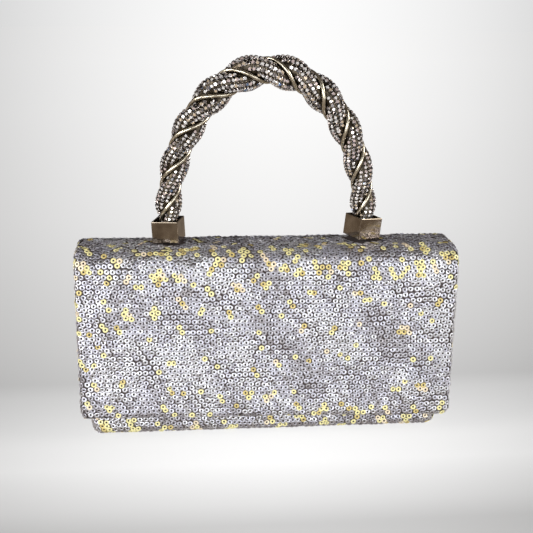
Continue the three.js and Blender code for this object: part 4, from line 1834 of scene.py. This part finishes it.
@dataclass
class Handle:
    """The rigid handle: two stone-set strands twisted together, with a smooth wire in each groove."""

    form: HandleForm = field(default_factory=HandleForm)
    strand_offset: float = 2.6 * MM
    strand_radius: float = 4.45 * MM
    wire_radius: float = 1.08 * MM
    wire_offset: float = 4.95 * MM
    stone_radius: float = 1.07 * MM
    stone_pitch: float = 2.62 * MM
    row_step: float = 2.16 * MM
    table_scale: float = 0.66
    crown_height: float = 0.42 * MM
    table_shares: tuple[float, ...] = (0.42, 0.20, 0.13, 0.19, 0.04, 0.02)
    # Crown facets draw mostly the grey and dark finishes: painted dark reflection round each stone.
    facet_shares: tuple[float, ...] = (0.10, 0.06, 0.06, 0.26, 0.50, 0.02)

    def section(self) -> Array:
        """One strand's section: most of a round, with a flat towards its twin notched for the core."""
        angles = np.radians(np.linspace(-112, 112, 29))
        rounds = np.column_stack(
            [
                self.strand_offset + self.strand_radius * np.cos(angles),
                self.strand_radius * np.sin(angles),
            ]
        )
        notch = np.array(
            [(0.3, 3.3), (0.3, 1.75), (1.25, 1.25), (1.75, 0), (1.25, -1.25), (0.3, -1.75), (0.3, -3.3)]
        )
        return np.concatenate([rounds, notch * MM, rounds[:1]])

    def strand(self, name: str, node: str, side: int, plate: Finish) -> Piece:
        """Sweeps one strand's metal along the rope.

        Args:
            name: The piece's name.
            node: The CAD node that it stands for.
            side: 1 for the first strand and -1 for its twin.
            plate: Its finish.

        Returns:
            The strand.
        """
        section = self.section() * side
        distance = np.linspace(self.form.start, self.form.stop, 300)
        far, x = np.meshgrid(distance, section[:, 0], indexing="ij")
        _, y = np.meshgrid(distance, section[:, 1], indexing="ij")
        points, _ = self.form.lay(far, x, y)
        piece = Bench.grid(name, points)
        Bench.cap(piece)
        Bench.smooth(piece, 50)
        return dress(piece, plate, "flap", "pave_strand", node)

    def gem(self) -> Piece:
        """Models one cut stone: a girdle, a crown of facets and a flat table."""
        Bench.clear()
        bpy.ops.mesh.primitive_cylinder_add(vertices=8, radius=self.stone_radius, depth=0.3 * MM)
        piece = Bench.name("stone_master")
        Bench.edit_faces(
            piece,
            lambda face: face.normal.z > 0.9,
            lambda: Bench.grow(self.table_scale, self.crown_height),
            lambda: bpy.ops.transform.rotate(
                value=math.pi / 8, orient_axis="Z", center_override=(0, 0, 0)
            ),
        )
        Bench.edit(piece, lambda: bpy.ops.mesh.quads_convert_to_tris())
        return piece

    def grain(self) -> Piece:
        """Models one of the small metal beads that hold the stones."""
        Bench.clear()
        bpy.ops.mesh.primitive_cylinder_add(vertices=6, radius=0.34 * MM, depth=0.3 * MM)
        piece = Bench.name("grain_master")
        Bench.edit_faces(
            piece,
            lambda face: face.normal.z > 0.9,
            lambda: Bench.grow(0.5, 0.16 * MM),
        )
        Bench.smooth(piece, 70)
        return piece

    def seats(self, side: int, shift: float) -> tuple[Places, Array]:
        """Where one strand's stones sit, in staggered rows round its outer face.

        Args:
            side: 1 for the first strand and -1 for its twin.
            shift: 0 for the stones and 0.5 for the beads between them.

        Returns:
            The places and the rope's size at each.
        """
        step = self.stone_pitch / self.strand_radius
        rows = np.arange(self.form.start + 2 * MM, self.form.stop - 2 * MM, self.row_step)
        distances, angles = [], []
        for index, row in enumerate(rows):
            count = 6 - index % 2
            across = (np.arange(count) - (count - 1) / 2) * step
            if shift:
                across = across[:-1] + step / 2
            distances.append(np.full(len(across), row))
            angles.append(across)
        distance = np.concatenate(distances)
        angle = np.concatenate(angles)

        def laid(distance: Array, angle: Array, radius: float) -> Array:
            """Points round the strand's middle line."""
            x = side * (self.strand_offset + radius * np.cos(angle))
            return self.form.lay(distance, x, side * radius * np.sin(angle))[0]

        at = laid(distance, angle, self.strand_radius)
        centre = laid(distance, angle, 0)
        ahead = laid(distance + 0.05 * MM, angle, self.strand_radius)
        around = laid(distance, angle + 0.01, self.strand_radius)
        out = unit(np.cross(around - at, ahead - at))
        out = out * np.sign(np.sum(out * (at - centre), axis=1, keepdims=True))
        along = unit(ahead - at)
        return Places(at, unit(np.cross(along, out)), out), self.form.scale(distance)

    def stones(self) -> list[Piece]:
        """Sets the stones and the beads between them.

        Returns:
            The pieces.
        """
        draws = np.random.default_rng(29)
        finishes = [shade.value.material() for shade in StoneShade]
        bead_plate = Plate("bead_plate", (0.20, 0.17, 0.13), (0.52, 0.46, 0.36), (0.18, 0.34))
        bead = bead_plate.material()
        gem = self.gem()
        grain = self.grain()
        faces = len(gem.data.polygons)
        flat = np.array([face.normal.z > 0.95 for face in gem.data.polygons])
        pieces = []
        for letter, side in (("a", 1), ("b", -1)):
            places, scale = self.seats(side, 0)
            count = len(places.at)
            size = scale**0.85 * draws.normal(1, 0.03, count)
            table = draws.choice(6, count, p=self.table_shares)
            # Each crown facet draws its own finish; the grey and dark ones are painted dark reflection.
            facets = draws.choice(6, (count, faces), p=self.facet_shares)
            choice = np.where(flat[None, :], table[:, None], facets)
            places = turned(places, draws, np.pi, 0.10)
            piece = stamp(f"strand_{letter}_stones", gem, places, size, finishes, choice)
            LOG.info("%s: %d stones", piece.name, count)
            pieces.append(dress(piece, None, "flap", "pave_strand"))
            places, scale = self.seats(side, 0.5)
            choice = np.zeros(len(scale), int)
            piece = stamp(f"strand_{letter}_beads", grain, places, scale, [bead], choice)
            pieces.append(dress(piece, None, "flap", "pave_strand"))
        bpy.data.objects.remove(gem)
        bpy.data.objects.remove(grain)
        return pieces

    def wire(self, name: str, node: str, side: int, plate: Finish) -> Piece:
        """Bends one wire along its groove and draws it into a round bar.

        Args:
            name: The piece's name.
            node: The CAD node that it stands for.
            side: 1 for the wire that crosses the front first, -1 for the other.
            plate: Its finish.

        Returns:
            The wire.
        """
        distance = np.linspace(self.form.start, self.form.stop, 280)
        points, _ = self.form.lay(
            distance, np.zeros_like(distance), np.full_like(distance, side * self.wire_offset)
        )
        Bench.clear()
        bpy.ops.curve.primitive_nurbs_path_add()
        curve = bpy.context.object
        curve.data.splines.clear()
        spline = curve.data.splines.new("POLY")
        spline.points.add(len(points) - 1)
        radius = self.form.scale(distance) ** 0.5
        for point, place, size in zip(spline.points, points, radius):
            point.co = (*place, 1)
            point.radius = size
        curve.data.dimensions = "3D"
        curve.data.bevel_depth = self.wire_radius
        curve.data.bevel_resolution = 3
        curve.data.use_fill_caps = True
        Bench.pick(curve)
        bpy.ops.object.convert(target="MESH")
        piece = Bench.name(name)
        Bench.cap(piece)
        Bench.smooth(piece, 60)
        piece.data.materials.clear()
        return dress(piece, plate, "flap", "groove_wire", node)

    def build(self) -> list[Piece]:
        """Builds the handle's rope.

        Returns:
            The pieces.
        """
        antique = Plate("antique_plate", (0.022, 0.018, 0.013), (0.115, 0.095, 0.070), (0.28, 0.5), 420)
        antique_plate = antique.material()
        bright = Plate("wire_plate", (0.55, 0.50, 0.39), (0.80, 0.74, 0.61), (0.22, 0.34), 220)
        bright_plate = bright.material()
        return [
            self.strand("strand_a_metal", "handle_strand_a", 1, antique_plate),
            self.strand("strand_b_metal", "handle_strand_b", -1, antique_plate),
            self.wire("groove_wire_first", "groove_wire_a", 1, bright_plate),
            self.wire("groove_wire_second", "groove_wire_b", -1, bright_plate),
            *self.stones(),
        ]


@dataclass
class Socket:
    """One square metal cup that an end of the handle stands in."""

    side: str
    rise: float = 0.4 * MM
    width: float = 15.6 * MM
    height: float = 12.6 * MM
    wall: float = 0.8 * MM
    base: float = 1.6 * MM
    edge: float = 0.55 * MM

    def build(self, plate: Finish) -> Piece:
        """Models the cup: a block, hollowed from above, with polished edges.

        Args:
            plate: Its finish.

        Returns:
            The cup.
        """
        Bench.clear()
        bpy.ops.mesh.primitive_cube_add(size=1, location=(0, 0, self.height / 2))
        piece = Bench.name(f"socket_{self.side}_cup")
        piece.scale = (self.width, self.width, self.height)
        bpy.ops.object.transform_apply(location=True, rotation=True, scale=True)
        Bench.edit_faces(
            piece,
            lambda face: face.normal.z > 0.9,
            lambda: bpy.ops.mesh.inset(thickness=self.wall),
            lambda: bpy.ops.mesh.extrude_region_move(
                TRANSFORM_OT_translate={"value": (0, 0, self.base - self.height)}
            ),
        )
        Bench.bevel(piece, self.edge, 4)
        Bench.modify(piece, "WEIGHTED_NORMAL", weight=100, keep_sharp=True)
        foot = FEET[self.side]
        lean = Matrix.Rotation(math.radians(foot.lean), 4, "Y")
        yaw = Matrix.Rotation(math.radians(foot.yaw), 4, "Z")
        Bench.settle(piece, Matrix.Translation((foot.x, foot.y, foot.z + self.rise)) @ lean @ yaw)
        node = f"handle_socket_{self.side}"
        return dress(piece, plate, f"socket_{self.side}", "polished_nickel", node)


@dataclass
class Snap:
    """The magnetic snap: a dished half on the body's front and a stud on the flap's lining."""

    rim: float = 0.35 * MM

    def half(
        self, name: str, node: str, outward: float, body: str, plate: Finish
    ) -> Piece:
        """Models one half as a stepped disc.

        Args:
            name: The piece's name.
            node: The CAD node that it stands for.
            outward: The half's open side, -1 for the front and 1 for the back.
            body: The body that it rides on.
            plate: Its finish.

        Returns:
            The half.
        """
        low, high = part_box(node)
        radius = (high.x - low.x) / 2
        depth = high.y - low.y
        stud = outward > 0
        Bench.clear()
        bpy.ops.mesh.primitive_cylinder_add(vertices=40, radius=radius, depth=depth * 0.55)
        piece = Bench.name(name)
        step = depth * 0.45 if stud else depth * 0.3
        Bench.edit_faces(
            piece,
            lambda face: face.normal.z > 0.9,
            lambda: bpy.ops.mesh.inset(thickness=radius * 0.28),
            lambda: bpy.ops.mesh.extrude_region_move(TRANSFORM_OT_translate={"value": (0, 0, step)}),
            lambda: bpy.ops.mesh.inset(thickness=radius * 0.2),
            lambda: bpy.ops.mesh.extrude_region_move(
                TRANSFORM_OT_translate={"value": (0, 0, -step * 0.5 if stud else -step * 1.4)}
            ),
        )
        Bench.bevel(piece, self.rim * 0.5, 2)
        Bench.smooth(piece, 35)
        middle = (low + high) / 2
        base_y = low.y if stud else high.y
        turn = Matrix.Rotation(math.radians(-90 * outward), 4, "X")
        place = Vector((middle.x, base_y + outward * depth * 0.275, middle.z))
        Bench.settle(piece, Matrix.Translation(place) @ turn)
        return dress(piece, plate, body, "polished_nickel", node)

    def build(self, plate: Finish) -> list[Piece]:
        """Builds both halves."""
        return [
            self.half("snap_dish", "snap_socket", -1, "bag_body", plate),
            self.half("snap_button", "snap_stud", 1, "flap", plate),
        ]


# ---- The hidden frame


def dress_hidden_parts() -> None:
    """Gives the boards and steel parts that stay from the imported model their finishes."""
    board = Fibre("grey_board", (0.25, 0.21, 0.16), (0.46, 0.40, 0.31), 900).material()
    steel = Plate("zinc_steel", (0.36, 0.37, 0.39), (0.62, 0.63, 0.65), (0.28, 0.46)).material()
    kinds = {"board": board, "steel": steel}
    for row in frame["record"]["subparts"]:
        finish = kinds.get(row["material_slot"])
        if finish is not None:
            slots = frame["nodes"][row["node"]].data.materials
            slots.clear()
            slots.append(finish)


# ---- The studio


@dataclass
class Studio:
    """A pale floor and backdrop, soft lights and the camera."""

    distance: float = 0.5637
    elevation: float = 17.07
    azimuth: float = -5.6
    roll: float = 0.65
    target: tuple[float, float, float] = (-0.0002, 0, 0.1009)
    lens: float = 64.59

    def camera(self) -> None:
        """Sets the camera."""
        data = bpy.data.cameras.new("camera")
        data.lens = self.lens
        data.sensor_width = 36
        data.clip_start = 0.01
        camera = bpy.data.objects.new("camera", data)
        bpy.context.scene.collection.objects.link(camera)
        rise = math.radians(self.elevation)
        turn = math.radians(self.azimuth)
        offset = Vector((math.sin(turn) * math.cos(rise), -math.cos(turn) * math.cos(rise), math.sin(rise)))
        camera.location = Vector(self.target) + offset * self.distance
        look = (-offset).to_track_quat("-Z", "Y")
        camera.rotation_mode = "QUATERNION"
        camera.rotation_quaternion = look @ Quaternion((0, 0, 1), math.radians(self.roll))
        bpy.context.scene.camera = camera

    @staticmethod
    def light(
        name: str,
        place: tuple[float, float, float],
        size: tuple[float, float],
        power: float,
        colour: Colour,
    ) -> None:
        """Adds one soft light that faces the bag.

        Args:
            name: The light's name.
            place: Where it stands.
            size: Its width and height.
            power: Its power in watts.
            colour: Its colour.
        """
        data = bpy.data.lights.new(name, "AREA")
        data.shape = "RECTANGLE"
        data.size, data.size_y = size
        data.energy = power
        data.color = colour
        lamp = bpy.data.objects.new(name, data)
        bpy.context.scene.collection.objects.link(lamp)
        lamp.location = place
        lamp.rotation_euler = (Vector((0, 0, 0.09)) - lamp.location).to_track_quat("-Z", "Y").to_euler()

    def lights(self) -> None:
        """Sets the lights: two broad low ones in front and one at each side."""
        for light in (
            ("key", (-0.55, -1.25, 0.20), (1.1, 0.4), 10.6, (0.95, 0.98, 1.0)),
            ("fill", (0.75, -1.15, 0.18), (0.9, 0.4), 5, (0.93, 0.97, 1.0)),
            ("left", (-1.3, -0.35, 0.75), (0.5, 0.5), 11, (1.0, 0.97, 0.93)),
            ("right", (1.3, -0.35, 0.75), (0.5, 0.5), 9.5, (1.0, 0.97, 0.93)),
        ):
            self.light(*light)

    def floor(self) -> None:
        """Lays the pale floor, its glow a painted pool of light: brightest in a band just in front of the
        bag, dim in a band behind it, brighter again far back, with painted shade towards the sides.
        """
        Bench.clear()
        bpy.ops.mesh.primitive_circle_add(vertices=96, radius=5, fill_type="NGON")
        floor = Bench.name("floor")
        graph = Graph("floor_paper")
        beyond, aside = self.spread(graph)
        depth = (beyond + 0.15) / (beyond + 0.65)
        # Painted light along the floor: the glow's stops, from a bright band in front of the bag to a dim
        # one behind it and brighter far back.
        rise = ((0.065, 0.52), (0.10, 0.68), (0.165, 0.90), (0.20, 0.88), (0.235, 0.79), (0.28, 0.68))
        wall = ((0.302, 0.57), (0.40, 0.66), (0.482, 0.74), (0.57, 0.82), (0.75, 0.94), (0.842, 0.975))
        glow = graph.ramp(depth, [(at, (tone,) * 3) for at, tone in rise + wall])
        # Painted shade: the glow fades towards black to the sides.
        glow = graph.blend(aside, glow, (0.0, 0.0, 0.0))
        self.paper(graph, (0.16, 0.16, 0.16), glow, 1)
        floor.data.materials.append(graph.material)
        floor.visible_glossy = False

    @staticmethod
    def spread(graph: Graph) -> tuple[Value, Value]:
        """How far back a place lies, and how much painted shade darkens it for lying aside.

        Args:
            graph: The backdrop material's graph.

        Returns:
            The distance back, and the painted shade from 0 to 1.
        """
        split = graph.node("SeparateXYZ", None, {0: graph.place()})
        beyond = (Value(graph, split.outputs["Y"]) + 0.15).join("ABSOLUTE") - 0.15
        reach = (beyond + 0.05).join("MAXIMUM", -0.02) * 0.267 + 0.152
        aside = (Value(graph, split.outputs["X"]) - beyond * 0.098 - reach * 0.05).join("ABSOLUTE") / reach
        return beyond, ((aside**1.7) * 0.27).join("MINIMUM", 0.36)

    @staticmethod
    def paper(graph: Graph, tone: object, glow: object, strength: float) -> None:
        """Finishes a backdrop material: matt paper with a glow that is painted light.

        Args:
            graph: The material's graph.
            tone: The paper's colour.
            glow: The glow's colour.
            strength: The glow's strength.
        """
        graph.surface(
            Base_Color=tone,
            Roughness=1.0,
            Specular_IOR_Level=0.0,
            Emission_Color=glow,
            Emission_Strength=strength,
        )

    def backdrop(self) -> None:
        """Hangs the pale backdrop all round, seen but casting no light, its glow painted darker towards the
        sides.
        """
        Bench.clear()
        bpy.ops.mesh.primitive_uv_sphere_add(segments=96, ring_count=48, radius=4.5)
        dome = Bench.name("backdrop")
        Bench.smooth(dome, 60)
        graph = Graph("backdrop_paper")
        _, aside = self.spread(graph)
        # Painted shade: the backdrop's glow fades towards black to the sides.
        glow = graph.blend(aside, (0.99, 0.99, 0.99), (0.0, 0.0, 0.0))
        self.paper(graph, (0.0, 0.0, 0.0), glow, 1)
        dome.data.materials.append(graph.material)
        dome.visible_diffuse = False
        dome.visible_glossy = False
        dome.visible_shadow = False
        dome.visible_transmission = False

    def world(self) -> None:
        """Sets the dim, warm room that the polished metal reflects."""
        graph = Graph("room", bpy.data.worlds.new("room"))
        sky = graph.node("TexCoord").outputs["Generated"]
        split = graph.node("SeparateXYZ", None, {0: sky})
        height = Value(graph, split.outputs["Z"]).join("MULTIPLY_ADD", 0.5, 0.5)
        low = ((0.0, (0.28, 0.235, 0.19)), (0.45, (0.34, 0.285, 0.235)))
        high = ((0.56, (0.13, 0.11, 0.095)), (1.0, (0.08, 0.067, 0.057)))
        background = graph.node("Background", None, {0: graph.ramp(height, low + high)})
        graph.node("OutputWorld", None, {0: background.outputs[0]})
        bpy.context.scene.world = graph.material

    def build(self) -> None:
        """Sets the whole stage."""
        self.camera()
        self.lights()
        self.floor()
        self.backdrop()
        self.world()
        bpy.context.scene.view_settings.view_transform = "Standard"


def report(pieces: Sequence[Piece]) -> None:
    """Logs each piece and its size in faces."""
    for piece in pieces:
        LOG.info("%s: %d faces", piece.name, len(piece.data.polygons))


def main() -> None:
    """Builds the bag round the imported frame, then the studio."""
    logging.basicConfig(level=logging.INFO, format="%(name)s %(message)s")
    Studio().build()
    satin = Satin("lining_satin_cloth", (0.105, 0.085, 0.090), (0.210, 0.178, 0.184)).material()
    work = SequinWork()
    report(Flap(work).build(satin))
    report(Body(work).build(satin))
    bpy.data.objects.remove(work.master)
    report(Handle().build())
    nickel = Plate("dark_nickel", (0.205, 0.160, 0.115), (0.40, 0.34, 0.27), (0.06, 0.16), 120)
    nickel_plate = nickel.material()
    report([Socket(side).build(nickel_plate) for side in FEET])
    report(Snap().build(nickel_plate))
    dress_hidden_parts()


if __name__ == "__main__":
    main()
